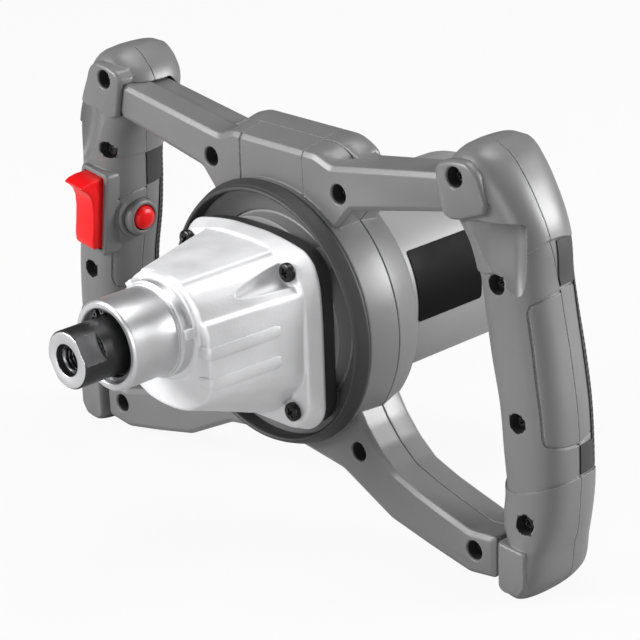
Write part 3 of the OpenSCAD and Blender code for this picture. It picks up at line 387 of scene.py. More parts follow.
flat_turn, flat_half, flat_length = 30.8, 12, 12
spindle = lathe("output_spindle", [
    (0, head_front + 27), (6, head_front + 26), (6, head_front + 3.9)] + eased([
    (6.9, head_front + 3), (7.7, head_front + 0.1)], 0.1) + eased([
    (7.9, head_front), (head_r - 0.8, head_front), (head_r, head_front + 0.8), (head_r, nose_front - 2),
    (11, nose_front - 2), (11, nose_front - 0.3), (8.4, nose_front - 0.3), (8.4, nose_front + 10),
    (7.95, nose_front + 10.5)], 0.25) + [(7.95, -6), (0, -6)], spindle_z, turns=192)
for side in (0, 180):
    carve(spindle, [block("flat", (flat_half, 30), (head_front - 1, head_front + flat_length), (-30, 30),
                          side - flat_turn, (0, spindle_z))])
blackened = finish("blackened_steel", (0.035, 0.035, 0.036), (0.06, 0.06, 0.062), 0.85, 0.42, 1400, 0.02,
                   (0.32, 0.32, 0.33), 0.0006, 90, 0.1)
steel_black = masked(blackened, (head_front + 0.06, head_front + 0.16), (0.72, 0.72, 0.73), 0.3, 1)
fit(spindle, steel_black, "output", ["spindle"], 28)

# The thread is its own helix inside the bore, cut at 2 mm a turn with a 60 degree form.
turns, pitch, steps = 96, 2.0, 8
bore_r, thread_depth = 6.0, 1.0
points, faces = [], []
rows = 10 * steps
for i in range(rows + 1):
    y = head_front + 3.2 + i * pitch / steps
    for k in range(turns):
        a = 2 * math.pi * k / turns
        phase = (i / steps + k / turns) % 1
        r = bore_r + thread_depth * (1 - abs(2 * phase - 1)) * min(1, (rows - i) / steps)
        points.append((r * math.cos(a), y, spindle_z + r * math.sin(a)))
for i in range(rows):
    for k in range(turns):
        j = (k + 1) % turns
        faces.append((i * turns + k, (i + 1) * turns + k, (i + 1) * turns + j, i * turns + j))
thread = solid("spindle_thread", points, faces, outward=False)
thread_steel = finish("cut_thread_steel", (0.16, 0.16, 0.165), (0.24, 0.24, 0.25), 1, 0.32, 2200, 0.01)
shell = thread.modifiers.new("wall", "SOLIDIFY")
shell.thickness, shell.offset = 0.0003, -1
settle(thread)
fit(thread, thread_steel, "output", (), 50)

# Dust seal and circlip. The seal is moulded rubber with a lip on the spindle, and the spring ring in front of
# it holds the nose bearing in the collar.
seal_front = collar_front + 4.1
seal = lathe("nose_dust_seal", eased([
    (head_r + 0.1, seal_front + 0.5), (head_r + 0.9, seal_front + 0.2), (head_r + 1.1, seal_front + 1.3),
    (16.3, seal_front + 1.3), (16.5, seal_front), (17.45, seal_front), (17.45, seal_front + 3.6),
    (head_r + 0.1, seal_front + 3.6)], 0.25, closed=True), spindle_z)
rubber = finish("nitrile_rubber", (0.010, 0.010, 0.010), (0.018, 0.018, 0.018), 0, 0.6, 1500, 0.015)
fit(seal, rubber, "machine", ["dust_seal"])
spring_finish = finish("spring_steel", (0.10, 0.10, 0.105), (0.16, 0.16, 0.165), 0.9, 0.35, 1800, 0.01,
                       (0.4, 0.4, 0.4), 0.0003)
nodes["nose_circlip"].data.materials.clear()
nodes["nose_circlip"].data.materials.append(spring_finish)

# Gear housing. An aluminium die casting with a flange for four screws: a body that narrows to the front,
# stepped along two ridges on each side and scooped out in front of each screw. The finish is fine grit blast.


def ring_of(corners, y, n=5):
    """A whole outline at depth y from its right half's corners (x, z, radius), which are rounded."""
    whole = corners + [(-x, z, q) for x, z, q in reversed(corners)]
    out, m = [], len(whole)
    for i, (x, z, q) in enumerate(whole):
        a, b, c = Vector(whole[i - 1][:2]), Vector((x, z)), Vector(whole[(i + 1) % m][:2])
        reach = min(q, (a - b).length * 0.45, (c - b).length * 0.45)
        p, s = b + (a - b).normalized() * reach, b + (c - b).normalized() * reach
        for k in range(n + 1):
            t = k / n
            out.append((*(p * (1 - t) ** 2 + b * 2 * t * (1 - t) + s * t * t), y))
    return [(x, y, z) for x, z, y in out]


def loft(name, rings):
    """A closed solid through rings of equally many points, with flat ends."""
    n = len(rings[0])
    faces = [tuple(range(n)), tuple(reversed(range((len(rings) - 1) * n, len(rings) * n)))]
    for k in range(len(rings) - 1):
        for i in range(n):
            j = (i + 1) % n
            faces.append((k * n + i, (k + 1) * n + i, (k + 1) * n + j, k * n + j))
    return solid(name, [p for ring in rings for p in ring], faces)


# The right half of the body's outline at its front and at the flange: (x, z, radius of the corner).
body_nose = [(5, -27, 9), (14, -25.6, 8), (20, -22.6, 5), (24, -20, 4), (28, -17.6, 4), (31.2, -13, 4),
             (32, -8, 6), (32, 15.6, 3), (29.6, 20.9, 1.0), (27.0, 21.6, 1.0), (24.6, 28, 5), (19.6, 33.2, 5),
             (15.2, 36.2, 1.0), (13.8, 38.0, 1.2), (8, 39.3, 8)]
body_root = [(6.4, -45, 12), (20, -39.4, 10), (27.6, -35, 7), (32.4, -30.6, 5), (35.6, -25.2, 4),
             (40.6, -20.6, 4), (43.4, -14, 7), (43.9, 17, 3), (43.2, 25.0, 1.0), (40.6, 26.0, 1.0),
             (37.4, 31, 5), (30.6, 37.4, 5), (24.8, 40.6, 1.0), (23.4, 42.6, 1.2), (12, 44.2, 12)]
flange_front, flange_back, body_front = -13, -4, -61
lay_z, screw_xy = -17.6, 35


def between(a, b, t, shrink=0):
    """A mix of two corner lists, moved in from their middle by a distance."""
    out = []
    for p, q in zip(a, b):
        x, z = p[0] + (q[0] - p[0]) * t, p[1] + (q[1] - p[1]) * t
        r = max(math.hypot(x, z - 5), 0.01)
        out.append((x - x / r * shrink, z - (z - 5) / r * shrink, p[2] + (q[2] - p[2]) * t))
    return out


stations = [(body_front, 0, 1.1), (body_front + 0.4, 0.01, 0.45), (body_front + 1.1, 0.025, 0.05),
            (body_front + 3, 0.06, 0)]
stations += [(body_front + 3 + 5 * k, 0.06 + 0.94 * 5 * k / 45, 0) for k in range(1, 9)] + [(-10, 1.04, 0)]
casting = loft("gear_housing_casting",
               [ring_of(between(body_nose, body_root, t, s), y) for y, t, s in stations])

# A scoop runs forward from each upper screw, and each screw's head has room round it.
scoops = []
for sx in (-1, 1):
    rings = []
    for k in range(13):
        t = k / 12
        cx, cz = 35 + (24.2 - 35) * t, 34.6 + (25.4 - 34.6) * t
        r = 6.5 * (1 - t) ** 0.75 + 0.25
        rings.append([(sx * (cx + 1.2 * t + r * math.cos(a)), flange_front - 0.1 - 35 * t,
                       cz + 1.2 * t + r * math.sin(a)) for a in (2 * math.pi * q / 32 for q in range(32))])
    scoops.append(loft("scoop", rings))
    for sz, far in ((-1, -30), (1, -20)):
        spot_line = [(0, far), (6.1, far), (6.1, flange_front + 0.2), (0, flange_front + 0.2)]
        scoops.append(lathe("spot", spot_line, sz * screw_xy, sx * screw_xy, 48))
carve(casting, scoops)
flange_back_corners = [(37.5, -47.5, 12), (47.5, -37.5, 12), (47.7, -12, 20), (47.7, 14, 20), (46.6, 29, 12),
                       (43.4, 38, 7), (37.6, 43.2, 7), (26, 45.8, 20), (12, 47.6, 20)]
flange_face_corners = [(35.4, -44.8, 10), (44.9, -35.4, 10), (45.0, -12, 20), (44.8, 14, 20),
                       (43.0, 27.4, 10), (39.8, 35, 6), (34.2, 39.8, 6), (23, 43.3, 20), (11, 45.6, 20)]
flange_rings = [(flange_front, 0, 1.3), (flange_front + 0.25, 0.02, 0.6), (flange_front + 0.9, 0.06, 0.1),
                (flange_front + 1.6, 0.12, 0), (flange_back - 1.6, 0.95, 0), (flange_back - 0.5, 1, 0.1),
                (flange_back, 1, 0.5)]
flange = loft("flange", [ring_of(between(flange_face_corners, flange_back_corners, t, s), y)
                         for y, t, s in flange_rings])
collar_root = lathe("collar_root", [
    (0, -63.2), (24.9, -62.8), (25.6, -61.5), (26.2, -58), (0, -58)], spindle_z)
lugs = [block("lug", (21.8, 25.2), (-68.2, -60), (-2.4, 2.4), -a, (0, spindle_z)) for a in (8, 128, 248)]


def gather(target, others):
    """Puts the meshes of other objects into one object, without cutting them."""
    work = bmesh.new()
    work.from_mesh(target.data)
    for other in others:
        work.from_mesh(other.data)
        discard(other)
    work.to_mesh(target.data)
    work.free()
    return target


def cast_form(obj, grain, melt, keep):
    """Melts a casting's parts into one skin with small fillets, as the mould leaves them."""
    step = obj.modifiers.new("skin", "REMESH")
    step.mode, step.voxel_size = "VOXEL", grain
    step = obj.modifiers.new("fillet", "SMOOTH")
    step.factor, step.iterations = 0.5, melt
    step = obj.modifiers.new("thin", "DECIMATE")
    step.ratio = keep
    return settle(obj)


gather(casting, [flange, collar_root] + lugs)
cast_form(casting, 0.00042, 2, 0.3)
room = lathe("room", [(0, -33), (28.1, -33), (28.1, -2), (0, -2)], spindle_z)
low_room = lathe("low_room", [(0, -17), (17, -17), (17, -2), (0, -2)], lay_z)
corners = [(x, z) for x in (-screw_xy, screw_xy) for z in (-screw_xy, screw_xy)]
holes = [lathe("hole", [(0, -75), (10.2, -75), (10.2, -20), (0, -20)], spindle_z),
         lathe("hole", [(0, -46), (6.02, -46), (6.02, -20), (0, -20)], lay_z)]
holes += [lathe("hole", [(0, -16), (2.6, -16), (2.6, 2), (0, 2)], z, x, 32) for x, z in corners]
carve(casting, [room, low_room] + holes)
aluminium = finish("grit_blasted_aluminium", (0.66, 0.66, 0.67), (0.80, 0.80, 0.81), 0.55, 0.55, 1100, 0.11,
                   (0.86, 0.86, 0.87), 0.0009, 60, 0.07)
fit(casting, aluminium, "machine", ["gear_housing"], 60)

# The pads on its sides stand out a little and run round onto the front face.
pads, pad_half = [], 3.1
for sx in (-1, 1):
    for nose_z, root_z in ((7.4, 10.9), (-7.6, -4.0)):
        rows = []
        path = [(24.4, -61), (27.4, -61), (30.2, -60.85), (31.4, -60.4), (32.2, -59.2), (33.9, -53)]
        path += [(33.9 + 6.8 * t, -53 + 27.5 * t) for t in (0.2, 0.4, 0.6, 0.8, 0.92, 1.0)]
        for i, (x, y) in enumerate(path):
            t = max(0, (y + 61) / 35)
            z = nose_z + (root_z - nose_z) * t
            half = pad_half * (0.72 if i in (0, len(path) - 1) else 1)
            a, b = path[max(i - 1, 0)], path[min(i + 1, len(path) - 1)]
            out = Vector((b[1] - a[1], a[0] - b[0])).normalized()
            rows.append([(sx * (x + out.x * h), y + out.y * h, z + w) for h, w in (
                (-0.8, -half), (0.45, -half), (0.6, -half + 0.2), (0.6, half - 0.2), (0.45, half),
                (-0.8, half))])
        pads.append(loft("housing_pad", rows))
raised = gather(pads[0], pads[1:])
raised.name = "gear_housing_pads"
fit(raised, aluminium, "machine", ["gear_housing"], 40)

# The collar is turned after casting, with a chamfer, a narrow run-out groove and the step for a clamp.
collar = lathe("gear_housing_collar", eased([
    (10.2, -61), (10.2, -77.3), (17.5, -77.3), (17.5, collar_front + 0.8), (18.2, collar_front),
    (20.4, collar_front), (21.5, collar_front + 1.1), (21.5, -70.2), (21.0, -69.9), (21.0, -69.2),
    (22.1, -69.0), (22.1, -68.2), (23.3, -67.9), (23.3, -61)], 0.22, closed=True), spindle_z, turns=192)
turned_aluminium = finish("turned_aluminium", (0.55, 0.55, 0.56), (0.66, 0.66, 0.67), 0.85, 0.38, 1500, 0.02,
                          (0.9, 0.9, 0.9), 0.0005, 30, 0.05)
tree = turned_aluminium.node_tree
cuts = chain(tree, "ShaderNodeMapping", {"Vector": chain(tree, "ShaderNodeTexCoord", {}).outputs["Object"]})
cuts.inputs["Scale"].default_value = (0.001, 3600, 0.001)
lines = chain(tree, "ShaderNodeTexNoise", {"Vector": cuts.outputs[0]}, Scale=1, Detail=1)
cut_bump = chain(tree, "ShaderNodeBump", {"Height": lines.outputs[0]}, Strength=0.6, Distance=0.00001)
shader = tree.nodes["Principled BSDF"]
tree.links.new(shader.inputs["Normal"].links[0].from_socket, cut_bump.inputs["Normal"])
tree.links.new(cut_bump.outputs[0], shader.inputs["Normal"])
fit(collar, turned_aluminium, "machine", ["gear_housing"], 28)

# Flange screws. Four long pan-head cross-recess screws in blackened steel, through the flange and the
# bearing plate into the motor housing.


def screw_form(name, r, t):
    """A pan head with a cross recess, its seat at the middle, its axis along Y and its top towards -Y."""
    profile = [(0, -t)] + [(r * math.sin(a), -t * (0.62 + 0.38 * math.cos(a) ** 0.8)) for a in (
        math.radians(d) for d in (20, 40, 58, 74, 86))] + [(r, -0.3), (r - 0.3, 0), (0, 0)]
    head = lathe(name, profile, turns=48)
    tools = []
    for spin in (45, 135):
        rows = []
        for y, w, h in ((-t - 1, 0.6 * r, 0.2 * r), (-t * 0.7, 0.52 * r, 0.15 * r),
                        (-t * 0.15, 0.2 * r, 0.1 * r)):
            c, s = math.cos(math.radians(spin)), math.sin(math.radians(spin))
            rows.append([(u * c - v * s, y, u * s + v * c) for u, v in ((-w, -h), (w, -h), (w, h), (-w, h))])
        tools.append(loft("cross", rows))
    carve(head, tools)
    head.data.transform(Matrix.Translation(-motor_line))
    return head


def screw_tree():
    """Geometry Nodes that put a screw, a little turned, on each point, and give it its finish."""
    tree = bpy.data.node_groups.new("screw_places", "GeometryNodeTree")
    for label, kind in (("Places", "NodeSocketGeometry"), ("Screw", "NodeSocketObject"),
                        ("Finish", "NodeSocketMaterial"), ("Uneven turn", "NodeSocketFloat")):
        tree.interface.new_socket(label, in_out="INPUT", socket_type=kind)
    tree.interface.new_socket("Screws", in_out="OUTPUT", socket_type="NodeSocketGeometry")
    given, result = tree.nodes.new("NodeGroupInput"), tree.nodes.new("NodeGroupOutput")
    screw = chain(tree, "GeometryNodeObjectInfo", {"Object": given.outputs["Screw"]})
    angle = chain(tree, "FunctionNodeRandomValue", {}, data_type="FLOAT")
    angle.inputs["Seed"].default_value = 7
    tree.links.new(given.outputs["Uneven turn"], angle.inputs[3])
    euler = chain(tree, "ShaderNodeCombineXYZ", {"Y": angle.outputs[1]})
    placed = chain(tree, "GeometryNodeInstanceOnPoints", {
        "Points": given.outputs["Places"], "Instance": screw.outputs["Geometry"],
        "Rotation": euler.outputs[0]})
    real = chain(tree, "GeometryNodeRealizeInstances", {0: placed.outputs[0]})
    finished = chain(tree, "GeometryNodeSetMaterial",
                     {0: real.outputs[0], "Material": given.outputs["Finish"]})
    tree.links.new(finished.outputs[0], result.inputs[0])
    return tree


screws_on_points = screw_tree()


def screw_set(name, form, places, made_of, replaced):
    """Puts screws of one form at places (x, y, z) in millimetres and makes them one mesh."""
    mesh = bpy.data.meshes.new(name)
    mesh.from_pydata([at(*p) for p in places], [], [])
    obj = bpy.data.objects.new(name, mesh)
    scene.collection.objects.link(obj)
    step = obj.modifiers.new("screws", "NODES")
    step.node_group = screws_on_points
    socket = {s.name: s.identifier for s in screws_on_points.interface.items_tree if s.in_out == "INPUT"}
    step[socket["Screw"]], step[socket["Finish"]], step[socket["Uneven turn"]] = form, made_of, math.pi
    settle(obj)
    discard(form)
    return fit(obj, made_of, "machine", replaced, 35)


screw_black = finish("black_screw_steel", (0.012, 0.012, 0.012), (0.03, 0.03, 0.03), 0.7, 0.3, 1500, 0.01,
                     (0.25, 0.25, 0.25), 0.0003, 200, 0.08)
screw_set("flange_screw_heads", screw_form("flange_screw", 4.6, 3.4),
          [(x, flange_front, z) for x, z in corners], screw_black, ["flange_screws"])

# Bearing plate. A sawn aluminium plate, painted black, that holds bearings and bushes between the gear
# housing and the motor. The four flange screws clamp it.
plate = loft("bearing_plate_body", [ring_of(between(flange_back_corners, flange_back_corners, 1, s), y)
                                    for y, s in ((-4, 1.9), (-3.6, 1.5), (3.4, 1.5), (3.9, 1.9))])
carve(plate, [lathe("seat", [(0, -9), (6.2, -9), (6.2, 12), (0, 12)], z) for z in (0, 13.65, lay_z)]
      + [lathe("hole", [(0, -8), (2.6, -8), (2.6, 9), (0, 9)], z, x, 32) for x, z in corners])
carve(plate, [lathe("boss", [(13, 5), (16, 3), (16, 13), (13, 13)])], "UNION")
plate_finish = finish("black_painted_plate", (0.03, 0.03, 0.03), (0.05, 0.05, 0.05), 0.2, 0.5, 1500, 0.02,
                      (0.14, 0.14, 0.14), 0.0005)
fit(plate, plate_finish, "machine", ["bearing_plate"], 30)

# Guard ring. A thin ring moulded in black plastic, with a rolled rim towards the gear housing. It is clipped
# over the front of the hub.
ring = lathe("guard_ring_moulding", eased([
    (61.3, 7.7), (61.3, 1.4), (61.7, 0.4), (62.2, 0.0), (63.1, 0.0), (63.7, 0.5), (63.9, 1.5), (64.5, 2.0),
    (66.3, 6.3), (66.4, 7.1), (65.9, 7.7)], 0.35, closed=True), turns=256)
# The ring's light edge colour is a painted highlight along its rim.
ring_finish = finish("ring_plastic", (0.020, 0.020, 0.021), (0.028, 0.028, 0.029), 0, 0.55, 2600, 0.012,
                     (0.3, 0.3, 0.3), 0.0006, 50, 0.05)
fit(ring, ring_finish, "machine", ["guard_ring"], 30)

# Frame. Two mouldings in glass-filled plastic meet at a seam round the hub: the front one carries the beam's
# and the arms' faces with six screw recesses, the rear one a deep bevel along its back.


def inset(corners, d):
    """A closed outline of (x, z) corners moved in by d along each side."""
    out, n = [], len(corners)
    for i in range(n):
        a, b, c = (Vector(corners[k][:2]) for k in (i - 1, i, (i + 1) % n))
        e, f = (b - a).normalized(), (c - b).normalized()
        m, q = Vector((-e.y, e.x)), Vector((-f.y, f.x))
        s = (m + q).normalized()
        out.append(tuple(b + s * (d / s.dot(m))))
    return out


def moulding(name, corners, layers, soft=2.2, steps=4):
    """A plate with an outline in X and Z through layers of (depth y, distance moved in)."""
    return loft(name,
                [[(x, y, z) for x, z in eased(inset(corners, d), soft, steps, True)] for y, d in layers])


def both(half):
    """The right half of an outline, from the bottom up, with its mirror image."""
    return half + [(-x, z) for x, z in reversed(half)]


hub_r, hub_front, frame_front, seam = 67, 8, 11, 26
arms = [(12, -67.4), (40.4, -71.6), (72.3, -87.7), (98, -93.6), (123, -98.6), (139.5, -96.3), (139.5, -75.5),
        (123.3, -77), (104.5, -72), (91.7, -68.4), (76, -62.6), (65.9, -54.3), (58, -45), (50, -32), (45, 0),
        (42, 40), (41, 49.5), (52, 61.8)]
front_outline = both(arms + [(113.5, 75.2), (113.5, 93.1), (38.5, 80.8), (28.5, 84.3)])
rear_outline = both(arms + [(113.5, 75.2), (113.5, 91.6), (44, 80.7), (34, 85.7)])
frame_screw_at = [(s * x, z) for s in (-1, 1) for x, z in ((44, 68.2), (52.3, -59.2), (126.7, -86))]

# The swell over the middle of the beam: depth, height of its top, half width at the top and at the foot.
crown_line = [(12.5, 84.1, 28.3, 38.5), (16, 84.9, 28.8, 39), (20, 85.6, 29.6, 39.6), (26, 86.7, 30.6, 40.6),
              (31, 87.7, 31.8, 42), (36, 88.3, 32.6, 43), (39.5, 88.0, 32.6, 43), (42, 86.4, 31.2, 42),
              (43.8, 83.6, 28, 39)]


def crown_between(start, end):
    """The swell over the middle of the beam, from one depth to another."""
    rows, last = [], len(crown_line) - 1
    depths = [start] + [c[0] for c in crown_line if start < c[0] < end]
    for y in depths + ([end] if end < crown_line[last][0] else []):
        k = min(max(1, next((i for i, c in enumerate(crown_line) if c[0] >= y), last)), last)
        a, b = crown_line[k - 1], crown_line[k]
        t = (y - a[0]) / (b[0] - a[0])
        top, half, foot_x = (a[i] + (b[i] - a[i]) * t for i in (1, 2, 3))
        outline = [(-foot_x, 60), (foot_x, 60), (foot_x, top - 5.6), (half, top), (-half, top),
                   (-foot_x, top - 5.6)]
        rows.append([(x, y, z) for x, z in eased(outline, 5.5, 6, True)])
    return loft("crown", rows)


def recesses(places, depth, r=4.7):
    """Cutters for deep round screw recesses with a softened mouth, at (x, y of the face, z)."""
    return [lathe("recess", [(0, y - 6), (r + 0.9 + 5, y - 6), (r + 0.75, y - 0.2), (r + 0.15, y + 0.5),
                             (r, y + 1.2), (r - 0.1, y + depth), (0, y + depth)], z, x, 40) for x, y,
            z in places]


def rod_along(name, path, r, sides=10, start=(0.93, 0.3, 0.2), longer=0):
    """A thin round rod along a path, to cut grooves with or as wire; its ends may reach further, in radii."""
    path, rows = [Vector(p) for p in path], []
    last = len(path) - 1
    for i, p in enumerate(path):
        t = (path[min(i + 1, last)] - path[max(i - 1, 0)]).normalized()
        u = t.cross(Vector(start)).normalized()
        v = t.cross(u)
        if longer and i in (0, last):
            p = p + t * (r * longer if i else -r * longer)
        rows.append([tuple(p + (u * math.cos(a) + v * math.sin(a)) * r)
                     for a in (2 * math.pi * k / sides for k in range(sides))])
    return loft(name, rows)


front = moulding("frame_front_moulding", front_outline, [
    (frame_front, 2.6), (frame_front + 0.25, 2.1), (frame_front + 1.4, 0.25), (frame_front + 1.9, 0),
    (seam - 0.55, 0), (seam - 0.15, 0.3)])
hub = lathe("hub", eased([
    (48, hub_front), (64.9, hub_front), (65.8, hub_front + 0.9), (hub_r - 0.05, seam - 0.5),
    (hub_r - 0.35, seam - 0.15), (48, seam - 0.15)], 0.3, closed=True), turns=224)
carve(front, [hub, crown_between(12.5, seam - 0.15)], "UNION")
carve(front, [lathe("bore", [(0, 0), (58.4, 0), (60.2, 7.6), (50, 12), (50, 30), (0, 30)], turns=128)]
      + recesses([(x, frame_front, z) for x, z in frame_screw_at], 8)
      + [rod_along("line", [(20.9, 10.9, 55), (20.6, 10.9, 80), (20.5, 11.4, 82.8), (20.4, 12.8, 84.4),
                            (20.4, 16, 85.1), (20.3, 20, 85.8), (20.2, 30, 87.6)], 0.36),
         rod_along("line", [(-22.6, 10.7, 55), (-22.3, 10.7, 80), (-22.2, 11.2, 82.8), (-22.2, 12.6, 84.4)],
                   0.95),
         rod_along("line", [(-22.2, 12.4, 84.4), (-22.2, 16, 85.1), (-22.3, 20, 85.8), (-22.4, 30, 87.6)],
                   0.36)])
# Its lighter edge colour paints highlights along the steps and edges of the mouldings, besides wear.
shell_grey = finish("moulded_grey_plastic", (0.118, 0.118, 0.119), (0.142, 0.142, 0.143), 0, 0.38, 2400,
                    0.035, (0.24, 0.24, 0.24), 0.0008, 25, 0.06)
fit(front, shell_grey, "machine", ["frame_front_shell"], 25)
# Painted shade: a near-black colour on the insides of the screw recesses stands in for the shadow in the deep
# holes.
recess_painted_shade = finish("recess_shadow", (0.008, 0.008, 0.008), (0.012, 0.012, 0.012), 0, 0.75, 1500, 0.01)
darken(front, [(x, frame_front, z) for x, z in frame_screw_at], recess_painted_shade)

rear = moulding("frame_rear_moulding", rear_outline, [
    (seam + 0.15, 0.3), (seam + 0.55, 0), (37.6, 0), (38.4, 0.3), (43.6, 5.6), (44, 6.4)])
hub = lathe("hub", eased([
    (50, seam + 0.15), (hub_r - 0.35, seam + 0.15), (hub_r - 0.05, seam + 0.5), (63, 42), (60, 45),
    (50, 45)], 0.4, closed=True), turns=224)
carve(rear, [hub, crown_between(seam + 0.15, 60)], "UNION")
carve(rear, [lathe("bore", [(0, 20), (49, 20), (49, 50), (0, 50)], turns=128)])
carve(rear, [rod_along("line", [(20.2, 22, 86.0), (20.1, 31, 87.8), (20, 36, 88.4), (20, 39.5, 88.1),
                                (20, 42, 86.5), (20, 46, 80)], 0.36)])
fit(rear, shell_grey, "machine", ["frame_rear_shell"], 25)
screw_set("frame_screw_heads", screw_form("frame_screw", 3.6, 2.4),
          [(x, frame_front + 7.6, z) for x, z in frame_screw_at], screw_black, ["frame_screws"])

# Handles. Each is a closed grip moulded in two halves that part along its side and clamp the ends of the
# frame. A boss takes the beam's end, a block takes the arm's end, and the grip between them is set in a step.

# Height, shift of the middle, extra half width, extra depth in front of the parting and behind it.
levels = [(-102, 1, -12.5, 2, -10), (-99, 1.5, -10, 5, -6), (-92, 3.6, -7.6, 5, -3), (-78, 4.5, -6.7, 4, -2),
          (-69, 2.5, -2.5, 2, -1), (-54, 2.9, -1.6, 0, 0), (-35, 1.9, -0.4, 0, 0), (-12, -0.1, 0.1, 0, 0),
          (10, -4.2, 0.7, 0, 0), (30, -7.6, 0.6, 0, -1), (47.5, -10, 0.5, 1, -2), (62.5, -13, 2.5, 2, -2),
          (75.5, -19.2, 5.3, 3, -2), (88.5, -24.7, 3.7, 4, -2), (96.5, -26.2, -0.7, 3.5, -3),
          (102.5, -26.2, -6.2, 1, -5), (105.5, -26.6, -10.5, -3, -8), (107, -27, -14, -8, -13)]


def level_at(z):
    """The four values of the handle at a height, by a smooth curve through the levels."""
    last = len(levels) - 1
    k = max(1, min(last, next((i for i, level in enumerate(levels) if level[0] >= z), last)))
    a, b = levels[k - 1], levels[k]
    before, after = levels[max(k - 2, 0)], levels[min(k + 1, last)]
    h = b[0] - a[0]
    t = (z - a[0]) / h
    out = []
    for i in range(1, 5):
        m = (b[i] - a[i]) / h
        m0 = m if k == 1 else (b[i] - before[i]) / (b[0] - before[0])
        m1 = m if k == last else (after[i] - a[i]) / (after[0] - a[0])
        out.append(a[i] * (2 * t**3 - 3 * t**2 + 1) + b[i] * (3 * t**2 - 2 * t**3)
                   + m0 * h * (t**3 - 2 * t**2 + t) + m1 * h * (t**3 - t**2))
    return out


def skin(z, degrees, d=0):
    """A point of the right handle's surface at a height and an angle, moved in by d."""
    shift, wide, ahead, behind = level_at(z)
    c, s = math.cos(math.radians(degrees)), math.sin(math.radians(degrees))
    return (150 + shift + (18.5 + wide - d) * math.copysign(abs(c) ** 0.78, c),
            31 + ((17 + ahead if s < 0 else 25 + behind) - d) * math.copysign(abs(s) ** 0.78, s), z)


def handle_skin(name, side, d=0, low=-102, high=107):
    """The handle's closed form between two heights, on one side, moved in by d."""
    inner = (low + 1.6 * k for k in range(1, int((high - low) / 1.6)))
    heights = [low] + [z for z in inner if z < high - 0.8] + [high - 0.5, high]
    angles = []
    for q in range(4):
        angles += [90 * q + a for a in (0, 1, 3, 6, 10, 15, 21, 28, 36, 44, 52, 60, 67, 73, 78, 82, 85.5, 88)]
    return loft(name, [[(side * p[0], p[1], p[2]) for p in (skin(z, a, d) for a in angles)] for z in heights])


def prism(name, side, outline, low, high, axis):
    """A straight cutter with an outline across an axis: (x, z) drawn along Y or (y, z) drawn along X."""
    rows = []
    for v in (low, high):
        rows.append([(side * u, v, w) if axis == "Y" else (side * v, u, w) for u, w in outline])
    return loft(name, rows)


def nearest(p, side):
    """The angle on the handle's surface of a point (x, y, z) given on that side."""
    return min((360 * k / 1440 for k in range(1440)),
               key=lambda a: (Vector(skin(p[2], a)) - Vector((side * p[0], p[1], p[2]))).length_squared)


def along(points, side, d=0, step=1.6):
    """A smooth path on the handle's surface through points given near it."""
    route = [(p[2], nearest(p, side)) for p in points]
    out = []
    for (z0, a0), (z1, a1) in zip(route, route[1:]):
        if a1 - a0 > 180:
            a1 -= 360
        if a0 - a1 > 180:
            a1 += 360
        p, q = Vector(skin(z0, a0)), Vector(skin(z1, a1))
        n = max(2, round((p - q).length / step))
        out += [skin(z0 + (z1 - z0) * k / n, a0 + (a1 - a0) * k / n, d) for k in range(n)]
    out.append(skin(*route[-1], d))
    return [Vector((side * x, y, z)) for x, y, z in out]


def panel_groove(line, side):
    """A cutter for the groove round a panel, along points near the grip's surface."""
    return rod_along("panel_groove", along([(side * x, y, z) for x, y, z in line], side, 0.9), 0.7, 8,
                     (0.3, 0.2, 0.93), 0.5)


grip_zone = [(60, -43), (130, -45), (140, -52), (150, -50.8), (158, -48), (165.5, -45.3), (169.5, -43.4),
             (190, -42.5), (190, 69), (157, 67.8), (155.5, 65.2), (151.6, 61), (145.1, 56.4), (140.7, 53.4),
             (134.6, 51.2), (131, 50.4), (124.6, 49.8), (118, 49.2), (60, 49)]
ear = [(107.5, 94.5), (112, 75), (117, 73), (124, 74.5), (137, 79.5), (138, 83.5), (132.5, 97.5),
       (127, 101.7), (118, 101.2), (110, 98.5)]
foot = [(142.5, -98), (145.5, -100.4), (155.5, -100), (159.5, -94), (159.5, -76), (142.5, -75)]
parting = [(27.6, 120), (27.8, 106), (28.2, 80), (29.3, 67), (34.2, 45), (35.5, 18), (35.6, -28), (35.3, -54),
           (35.2, -110)]
panel = [(159.6, 34.5, 42.9), (158.9, 23.4, 42.0), (156.5, 18.6, 40.2), (155.3, 17.2, 38.4),
         (154.9, 16.8, 35.5), (157.5, 17.1, 20.1), (160.6, 16.9, -0.3), (163.4, 17.0, -21.1),
         (164.0, 17.3, -23.4), (165.2, 18.6, -25.0), (169.0, 25.3, -26.6), (169.4, 35.0, -27.6)]
panel_back = [(169.4, 35.0, -27.6), (168.5, 42.6, -26.6), (167.2, 46.5, -25.2), (165.6, 47.4, -12),
              (162.5, 47.4, 4), (159.0, 47.2, 20), (156.3, 46.8, 36), (155.6, 46.0, 42.4),
              (156.6, 43.5, 44.2), (159.3, 34.1, 44.2)]
inner_panel = [(124.0, 39.4, 29.1), (123.5, 32.9, 29.2), (124.5, 23.6, 28.1), (128.6, 18.1, 25.4),
               (130.2, 17.2, 22.5), (132.1, 17.6, 8.3), (135.5, 18, -10.4), (137, 18.3, -20),
               (136.5, 20, -24.5), (134, 26, -26.5), (131, 34, -27)]
screw_spots = {1: [(120, 8, 93.5), (150, 14, -16.6), (156, 11.5, -64), (139, 13.6, 46.7)],
               -1: [(120, 8, 93.5), (150, 14, -16.6), (156, 11.5, -64), (129, 12.6, 53)]}
grip_lean, trigger_x, trigger_z = math.radians(8), -140, 19.5
button_y, button_z = 30.5, 14


